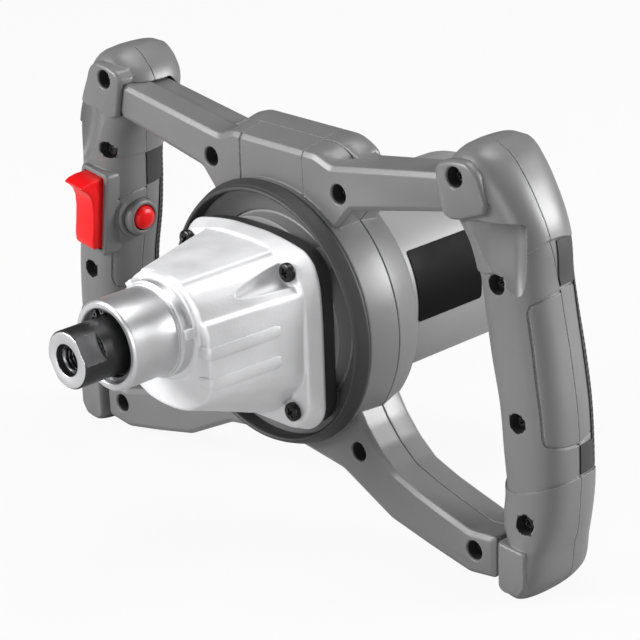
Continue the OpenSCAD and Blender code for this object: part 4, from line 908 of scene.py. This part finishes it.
def on_grip(name, rings):
    """A form in the trigger's own place, leaning with the grip: rings of (x, y, z) about its middle."""
    c, s = math.cos(grip_lean), math.sin(grip_lean)
    return loft(name, [[(trigger_x + c * x + s * z, y, trigger_z - s * x + c * z) for x, y, z in ring]
                       for ring in rings])


def button_bore():
    """The hole that the lock button's tube sits in."""
    return lathe("bore", [(0, -142), (9.95, -142), (9.95, -110), (0, -110)], button_z, button_y, 72, True)


def handle_body(side):
    """One handle's whole outside, before it is parted."""
    body = handle_skin("handle", side)
    carve(body, [prism("zone", side, grip_zone, -20, 80, "Y")])
    grip = handle_skin("grip", side, 0.9, -60, 75)
    ear_plate = moulding("ear", [(side * x, z) for x, z in ear][::side],
                         [(8, 1.7), (8.25, 1.15), (9.0, 0.4), (10.2, 0), (20, 0)], 3.2, 5)
    foot_plate = moulding("foot", [(side * x, z) for x, z in foot][::side],
                          [(9, 1.3), (9.2, 1.0), (10, 0.3), (11, 0), (25, 0)], 1.6, 4)
    # the front outer quarter of the boss is scooped out below a ledge, less and less towards the grip
    section = eased([(118, -12), (118, 11.8), (126, 12.8), (133, 15.8), (139, 19.6), (143.5, 22.6),
                     (147, 22.8), (150.5, 21), (154, 17.5), (158, 12), (190, 10), (190, -12)], 1.6, 3, True)
    rows = []
    for z, w in ((76.4, 0.1), (75.8, 0.66), (75.2, 0.86), (74.4, 0.96), (73, 1), (68.5, 1), (63, 0.9),
                 (59, 0.79), (55, 0.66), (51, 0.5), (48, 0.34), (45, 0.16), (42, -0.05), (39, -0.3)):
        rows.append([(side * (x + 0.9 + 5.8 * (1 - w)), y - 1.0 - 6.2 * (1 - w), z) for x, y in section])
    carve(body, [grip], "UNION")
    carve(body, [loft("hollow", rows)])
    carve(body, [ear_plate, foot_plate], "UNION")
    # its inside is open for the beam's and the arm's ends
    beam_end = [(side * x, z) for x, z in [(60, 66), (113.9, 74.9), (113.9, 93.4), (60, 84.5)]][::side]
    beam_depths = [(10.75, 0), (37.9, 0), (38.4, 0.2), (44.2, 5.9), (44.6, 6.5)]
    carve(body, [moulding("beam_space", beam_end, beam_depths, 0.5, 2),
                 prism("arm_space", side, [(0, -140), (139.8, -140), (139.8, -74), (0, -74)], 0, 80, "Y")])
    if side < 0:
        disc = lathe("disc", [(0, -138), (12.6, -138), (12.6, -127.4), (11.8, -126.7), (0, -126.7)],
                     15.0, 30.3, 72, True)
        rings = []
        for y, d in ((10.9, 1.0), (11.1, 0.55), (11.8, 0.1), (12.4, 0), (24, 0)):
            frame_corners = [(-10.7 + d, -23.6 + d), (10.7 - d, -23.6 + d), (10.7 - d, 22.8 - d),
                             (-10.7 + d, 22.8 - d)]
            rings.append([(x, y, z) for x, z in eased(frame_corners, 3.4, 5, True)])
        carve(body, [disc, on_grip("bezel", rings)], "UNION")
        slot_outline = eased([(-8, -20.4), (8, -20.4), (8, 20.4), (-8, 20.4)], 1.2, 3, True)
        carve(body,
              [on_grip("slot", [[(x, y, z) for x, z in slot_outline] for y in (-10, 26)]), button_bore()])
    carve(body, recesses([(side * x, y, z) for x, y, z in screw_spots[side]], 8))
    return body


def twin(obj):
    """A copy of an object with a mesh of its own."""
    other = obj.copy()
    other.data = obj.data.copy()
    scene.collection.objects.link(other)
    return other


slit, pad_gap = 0.17, 0.2


def parted(body, side):
    """The front and the rear half of a handle, a narrow slit apart."""
    halves = []
    for sign in (1, -1):
        half = twin(body)
        edge = [(y - sign * slit, z) for y, z in parting]
        outline = edge + [(y, z) for y, z in ((sign * 150 + 30, -110), (sign * 150 + 30, 120))]
        carve(half, [prism("behind", side, outline, 60, 200, "X")])
        halves.append(half)
    discard(body)
    return halves


def pad_places(side):
    """Where rubber covers the grip: its back, and in two bands its sides up to the parting."""
    areas = (([(100, -58.9), (190, -37.8), (190, 82.9), (100, 37.8)], 46),
             ([(100, 20.6), (190, 58.8), (190, 82.9), (100, 37.8)], 33.5),
             ([(100, -58.9), (190, -37.8), (190, -23.9), (100, -44.8)], 33.5))
    return [prism("pad_area", side, outline, y, 90, "Y") for outline, y in areas]


first_gap, gap_width, rib_pitch, gap_count = -40.5, 1.1, 3, 34
behind, ahead = ([(y + gap, z) for y, z in parting] + [(-60, -110), (-60, 120)] for gap in (slit, pad_gap))
for side, word in ((1, "right"), (-1, "left")):
    front, rear = parted(handle_body(side), side)
    # the rubber pad is a shell, laid in a step of the rear half and cut across between its ribs
    bands = pad_places(side)
    cover = carve(bands[0], bands[1:], "UNION")
    pad = handle_skin(f"{word}_grip_pad_rubber", side, 0.35, -56, 72)
    carve(pad, [handle_skin("inner", side, 2.4, -60, 76)])
    carve(pad, [twin(cover)], "INTERSECT")
    carve(pad, [prism("front_limit", side, ahead, 60, 200, "X")])
    grooves = []
    for z in (first_gap + rib_pitch * k for k in range(gap_count)):
        strip = [(46.8, z), (46.8, z + gap_width), (90, z + gap_width), (90, z)]
        grooves.append(prism("rib_gap", side, strip, 60, 200, "X"))
    ribs = handle_skin("ribs", side, 0.9, -58, 74)
    tool = carve(grooves[0], grooves[1:], "UNION")
    carve(tool, [ribs])
    carve(pad, [tool])
    carve(rear, [cover])
    under = handle_skin("under", side, 2.3, -58, 74)
    carve(rear, [under], "UNION")
    if side < 0:
        carve(rear, [button_bore()])
    carve(rear, [prism("rear_limit", side, behind, 60, 200, "X")])
    carve(front, [panel_groove(line, side) for line in (panel, inner_panel)])
    carve(rear, [panel_groove(panel_back, side)])
    for half, place in ((front, "front"), (rear, "rear")):
        half.name = f"{word}_handle_{place}_moulding"
        fit(half, shell_grey, "machine", [f"{word}_handle_{place}_shell"], 28)
    # Painted shade: the insides of the handle's screw recesses get the near-black colour in place of their
    # shadow.
    darken(front, [(side * x, y, z) for x, y, z in screw_spots[side]], recess_painted_shade)
    pad_finish = finish(f"{word}_pad_rubber", (0.012, 0.012, 0.012), (0.02, 0.02, 0.02), 0, 0.62, 900, 0.05)
    fit(pad, pad_finish, "machine", [f"{word}_grip_pad"], 28)
screw_set("handle_screw_heads", screw_form("handle_screw", 3.6, 2.4),
          [(side * x, y + 6.8, z) for side in (1, -1) for x, y, z in screw_spots[side]], screw_black,
          ["handle_screws"])

# Trigger. It is moulded in red plastic with a lip at its top, and slides in a bezel on the left grip against
# its spring.
rows = []
for z, face, half in ((-19.6, 7.6, 6.2), (-19.2, 6.6, 7.0), (-18, 5.9, 7.4), (-14, 5.4, 7.5), (-6, 5.5, 7.5),
                      (2, 5.4, 7.5), (8, 4.6, 7.5), (12, 2.9, 7.5), (14.5, 0.6, 7.5), (16, -1.4, 7.45),
                      (16.8, -2.4, 7.3), (17.5, -2.5, 7.2), (18.6, -0.6, 7.2), (19.6, 3.4, 7.1),
                      (20, 7, 6.6)):
    rows.append([(x, y, z) for x,
                 y in eased([(-half, face), (half, face), (half, 17), (-half, 17)], 1.1, 4, True)])
trigger = on_grip("trigger_moulding", rows)
red = finish("red_plastic", (0.62, 0.004, 0.006), (0.74, 0.006, 0.008), 0, 0.33, 2200, 0.006,
             (0.9, 0.05, 0.04), 0.0006)
red.node_tree.nodes["Principled BSDF"].inputs["Specular IOR Level"].default_value = 0.3
fit(trigger, red, "trigger", ["trigger"], 30)

# Lock button. A red domed pin in a moulded tube on the inner side of the left grip. The tube is a piece of
# its own, pushed in from inside.
tube_form = lathe("button_collar_tube", eased([
    (6.75, -131), (6.75, -122.6), (7.3, -122.0), (8.6, -122.0), (9.5, -122.9), (9.8, -125), (9.8, -131)], 0.5,
    closed=True), button_z, button_y, 96, True)
fit(tube_form, shell_grey, "machine", ["button_collar"], 28)
button = lathe("lock_button_pin", eased([
    (0, -119.2), (3.2, -119.5), (5.2, -120.4), (6.2, -122), (6.4, -124), (6.4, -126.4), (3.2, -126.6),
    (3.2, -132.5), (0, -132.5)], 0.5), button_z, button_y, 96, True)
fit(button, red, "lock_button", ["lock_button"], 30)

# Motor housing. One tube moulded in glass-filled plastic, with the guide ring and the four screw posts at the
# frame, air slots round the fan and a spider that holds the rear bearing.
barrel = lathe("motor_housing_barrel", eased([
    (45.5, 4), (48.5, 4), (48.5, 12.7), (57, 12.7), (57, 22), (48.5, 22), (48.5, 53.4), (48.0, 53.7),
    (48.0, 54.5), (48.5, 54.8), (48.5, 133.3), (48.1, 133.8), (45.5, 133.8)], 0.25, closed=True), turns=224)
posts = [lathe("post", [(2.25, 4), (6, 4), (6, 24), (2.25, 24)], z, x, 40) for x, z in corners]
cap_screw_x = (-40, 40)
seat = lathe("bearing_seat", eased([(11, 125), (14, 125), (14, 132), (11, 132)], 0.4, closed=True))
spokes = [block("spoke", (13.2, 46), (125.3, 131.7), (-2.8, 2.8), a) for a in (45, 135, 225, 315)]
lands = [block("land", x, (120, 133.6), (-4, 4)) for x in ((36, 46.5), (-46.5, -36))]
carve(barrel, posts + [seat] + spokes + lands, "UNION")
carve(barrel, [block("slot", (43, 52), (25, 36), (-3.5, 3.5), a) for a in range(0, 360, 30)]
      + [lathe("bore", [(0, 118), (1.95, 118), (1.95, 140), (0, 140)], 0, x, 32) for x in cap_screw_x])
motor_grey = finish("motor_plastic", (0.20, 0.20, 0.20), (0.225, 0.225, 0.225), 0, 0.42, 2400, 0.02,
                    (0.3, 0.3, 0.3), 0.0006, 30, 0.05)
fit(barrel, motor_grey, "machine", ["motor_housing"], 28)

# End cap. A dome moulded in the motor housing's plastic, with nine air slots. It closes the motor and is held
# by two screws in deep wells.
outside = [(0, 158.9), (28, 158.9), (36, 156.4), (42, 150.9), (46.5, 142.9), (48.5, 136.9), (48.5, 134.1),
           (45.6, 134.1)]
inside = [(43.5, 140.7), (39, 148.7), (33, 154.2), (25, 155.9), (0, 155.9)]
cap = lathe("end_cap_moulding", eased(outside + inside, 1.6, 4), turns=192)
carve(cap,
      [lathe("tower", [(2.2, 134.2), (4.6, 134.2), (4.6, 150), (2.2, 150)], 0, x, 40) for x in cap_screw_x],
      "UNION")
slots, slot_pitch, slot_half = [], 5.6, 22
for k in range(-4, 5):
    z, w = k * slot_pitch, slot_half
    outline = eased([(-w, z - 1.3), (w, z - 1.3), (w, z + 1.3), (-w, z + 1.3)], 1.1, 4, True)
    slots.append(loft("slot", [[(x, y, q) for x, q in outline] for y in (150, 165)]))
carve(cap,
      slots + [lathe("well", [(0, 144), (3.8, 144), (3.8, 170), (0, 170)], 0, x, 40) for x in cap_screw_x])
fit(cap, motor_grey, "machine", ["end_cap"], 28)
cap_screw = screw_form("cap_screw", 3.6, 2.4)
cap_screw.data.transform(Matrix.Rotation(math.pi, 4, "Z"))
screw_set("end_cap_screw_heads", cap_screw, [(x, 144, 0) for x in cap_screw_x], screw_black,
          ["end_cap_screws"])

# Label. A bare plate of semi-gloss black foil with cut corners, bent round the right side of the motor
# housing and glued on, a little above its middle.
label = finish("black_label", (0.003, 0.003, 0.003), (0.005, 0.005, 0.005), 0, 0.5, 900, 0.004,
               (0.03, 0.03, 0.03), 0.0003)
label.node_tree.nodes["Principled BSDF"].inputs["Specular IOR Level"].default_value = 0.04
label_turn, label_spread, label_front, label_back = 12, 42.4, 58, 102
n, rows = 24, []
for r in (48.55, 49.05):
    row = [math.radians(-label_spread / 2 + label_spread * k / n + label_turn) for k in range(n + 1)]
    rows.append([(r * math.cos(a), r * math.sin(a)) for a in row])
section = rows[0] + rows[1][::-1]
foil = loft("motor_label", [[(x, y, z) for x, z in section]
                            for y in (label_front, label_front + 0.3, label_back - 0.3, label_back)])
corner_cuts = []
for a0, sa in ((-9.2, 1), (33.2, -1)):
    for y0, sy in ((label_front, 1), (label_back, -1)):
        a = math.radians(a0)
        up = Vector((-math.sin(a), 0, math.cos(a))) * sa
        out = Vector((math.cos(a), 0, math.sin(a)))
        base = Vector((48.8 * math.cos(a), y0 - 0.5 * sy, 48.8 * math.sin(a)))
        triangle = (base - up * 0.5, base + up * 1.5, base - up * 0.5 + Vector((0, 2 * sy, 0)))
        corner_cuts.append(loft("corner", [[tuple(v + out * h) for v in triangle] for h in (-2, 2)]))
carve(foil, corner_cuts)
fit(foil, label, "machine", ["motor_plate"], 30)

# Cable gland. A ribbed sleeve moulded in rubber with a rounded mouth, pushed into the back of the left handle
# near its foot.
gland = lathe("cable_sleeve", eased([
    (3.7, 45), (7, 45), (7, 47), (6.2, 47.4), (6.2, 48.6), (7, 49), (7, 50.6), (6.2, 51), (6.2, 52.2),
    (7, 52.6), (7, 54.9), (3.9, 54.9), (3.7, 54.4)], 0.3, closed=True), -80, -153, 64)
fit(gland, rubber, "machine", ["cable_gland"], 30)

# Springs. Each is wound from bright round wire with a closed turn at each end: one behind the trigger, one
# behind the button, one behind each brush.


def coil(name, a, b, r, wire, winds):
    """A coil spring's wire between two points, as a rod along a helix with a closed turn at each end."""
    a, b = Vector(a), Vector(b)
    along_it = (b - a).normalized()
    u = along_it.orthogonal().normalized()
    v = along_it.cross(u)
    path, steps = [], int(winds * 20)
    length = (b - a).length - 2 * wire
    for k in range(steps + 1):
        t = k / steps
        turn = 2 * math.pi * winds * t
        climb = min(max((t - 1 / winds) / (1 - 2 / winds), 0), 1) * (length - 2 * wire)
        rise = climb + min(t * winds, 1) * wire + max(0, (t - 1) * winds + 1) * wire
        path.append(a + along_it * (wire + rise) + (u * math.cos(turn) + v * math.sin(turn)) * (r - wire))
    return rod_along(name, path, wire, 8)


bright_wire = finish("bright_spring_wire", (0.42, 0.42, 0.43), (0.52, 0.52, 0.53), 1, 0.3, 3000, 0.004, None)


def node_span(node):
    """The box of a piece of the part in the millimetres used here."""
    lo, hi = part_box(node)
    return (lo - motor_line) * 1000, (hi - motor_line) * 1000


for node, axis in (("trigger_spring", 1), ("lock_spring", 0)):
    lo, hi = node_span(node)
    mid = (lo + hi) / 2
    ends = [mid.copy(), mid.copy()]
    ends[0][axis], ends[1][axis] = lo[axis], hi[axis]
    r = min(hi[i] - lo[i] for i in range(3) if i != axis) / 2
    wound = coil(f"{node}_wire", ends[0], ends[1], r, 0.35, max(5, (hi - lo)[axis] / 1.7))
    fit(wound, bright_wire, "machine", [node], 60)
lo, hi = node_span("brush_springs")
mid = (lo + hi) / 2
halves = [coil("brush_spring", (sx * 30, mid.y, mid.z), (sx * hi.x, mid.y, mid.z), 2.4, 0.25, 9)
          for sx in (-1, 1)]
wound = gather(halves[0], halves[1:])
wound.name = "brush_spring_wires"
fit(wound, bright_wire, "machine", ["brush_springs"], 60)

# Inner pieces. They keep the forms of the part and take the finish of what they are made of: ground and cut
# steel, sintered bronze, enamelled copper, carbon, sheet brass and moulded plastic.
inner = {
    "gear_steel": (("spindle_gear", "lay_gear", "lay_shaft", "armature_shaft"),
                   ((0.34, 0.34, 0.35), (0.42, 0.42, 0.43), 1, 0.3, 2500, 0.004, (0.7, 0.7, 0.7), 0.0003)),
    "bearing_steel": (("nose_bearing", "armature_front_bearing", "armature_rear_bearing"),
                      ((0.55, 0.55, 0.56), (0.62, 0.62, 0.63), 1, 0.2, 3000, 0.002, (0.8, 0.8, 0.8), 0.0003)),
    "sintered_bronze": (("spindle_rear_bush", "lay_front_bush", "lay_rear_bush"),
                        ((0.42, 0.26, 0.09), (0.5, 0.32, 0.12), 1, 0.42, 4000, 0.02, (0.7, 0.5, 0.2),
                         0.0002)),
    "core_laminations": (("armature_core",), (
        (0.24, 0.13, 0.07), (0.3, 0.17, 0.09), 0.8, 0.42, 2600, 0.02, (0.4, 0.3, 0.2), 0.0003)),
    "stator_laminations": (("stator_core",), (
        (0.22, 0.22, 0.24), (0.28, 0.28, 0.3), 0.9, 0.42, 2600, 0.015, (0.5, 0.5, 0.5), 0.0003)),
    "enamelled_copper": (("field_coils",), (
        (0.45, 0.13, 0.04), (0.55, 0.18, 0.06), 0.9, 0.35, 2200, 0.03, (0.8, 0.35, 0.15), 0.0004)),
    "commutator_copper": (("commutator",), (
        (0.62, 0.27, 0.12), (0.7, 0.33, 0.16), 1, 0.25, 2800, 0.004, (0.9, 0.5, 0.3), 0.0002)),
    "sheet_brass": (("brush_holders",), (
        (0.62, 0.43, 0.13), (0.7, 0.5, 0.18), 1, 0.3, 2400, 0.004, (0.9, 0.7, 0.35), 0.0003)),
    "brush_carbon": (("carbon_brushes",),
                     ((0.012, 0.012, 0.012), (0.02, 0.02, 0.02), 0, 0.5, 3500, 0.03, None)),
    "fan_nylon": (("cooling_fan",), (
        (0.6, 0.56, 0.46), (0.66, 0.62, 0.52), 0, 0.45, 1800, 0.01, (0.75, 0.72, 0.62), 0.0005)),
    "switch_moulding": (("switch_body",), (
        (0.02, 0.02, 0.02), (0.03, 0.03, 0.03), 0, 0.4, 1800, 0.01, (0.12, 0.12, 0.12), 0.0004)),
    "capacitor_moulding": (("suppressor",), (
        (0.5, 0.34, 0.05), (0.56, 0.4, 0.07), 0, 0.35, 1800, 0.008, (0.7, 0.55, 0.2), 0.0004)),
}
for name, (pieces, look) in inner.items():
    made = finish(name, *look)
    for piece in pieces:
        nodes[piece].data.materials.clear()
        nodes[piece].data.materials.append(made)
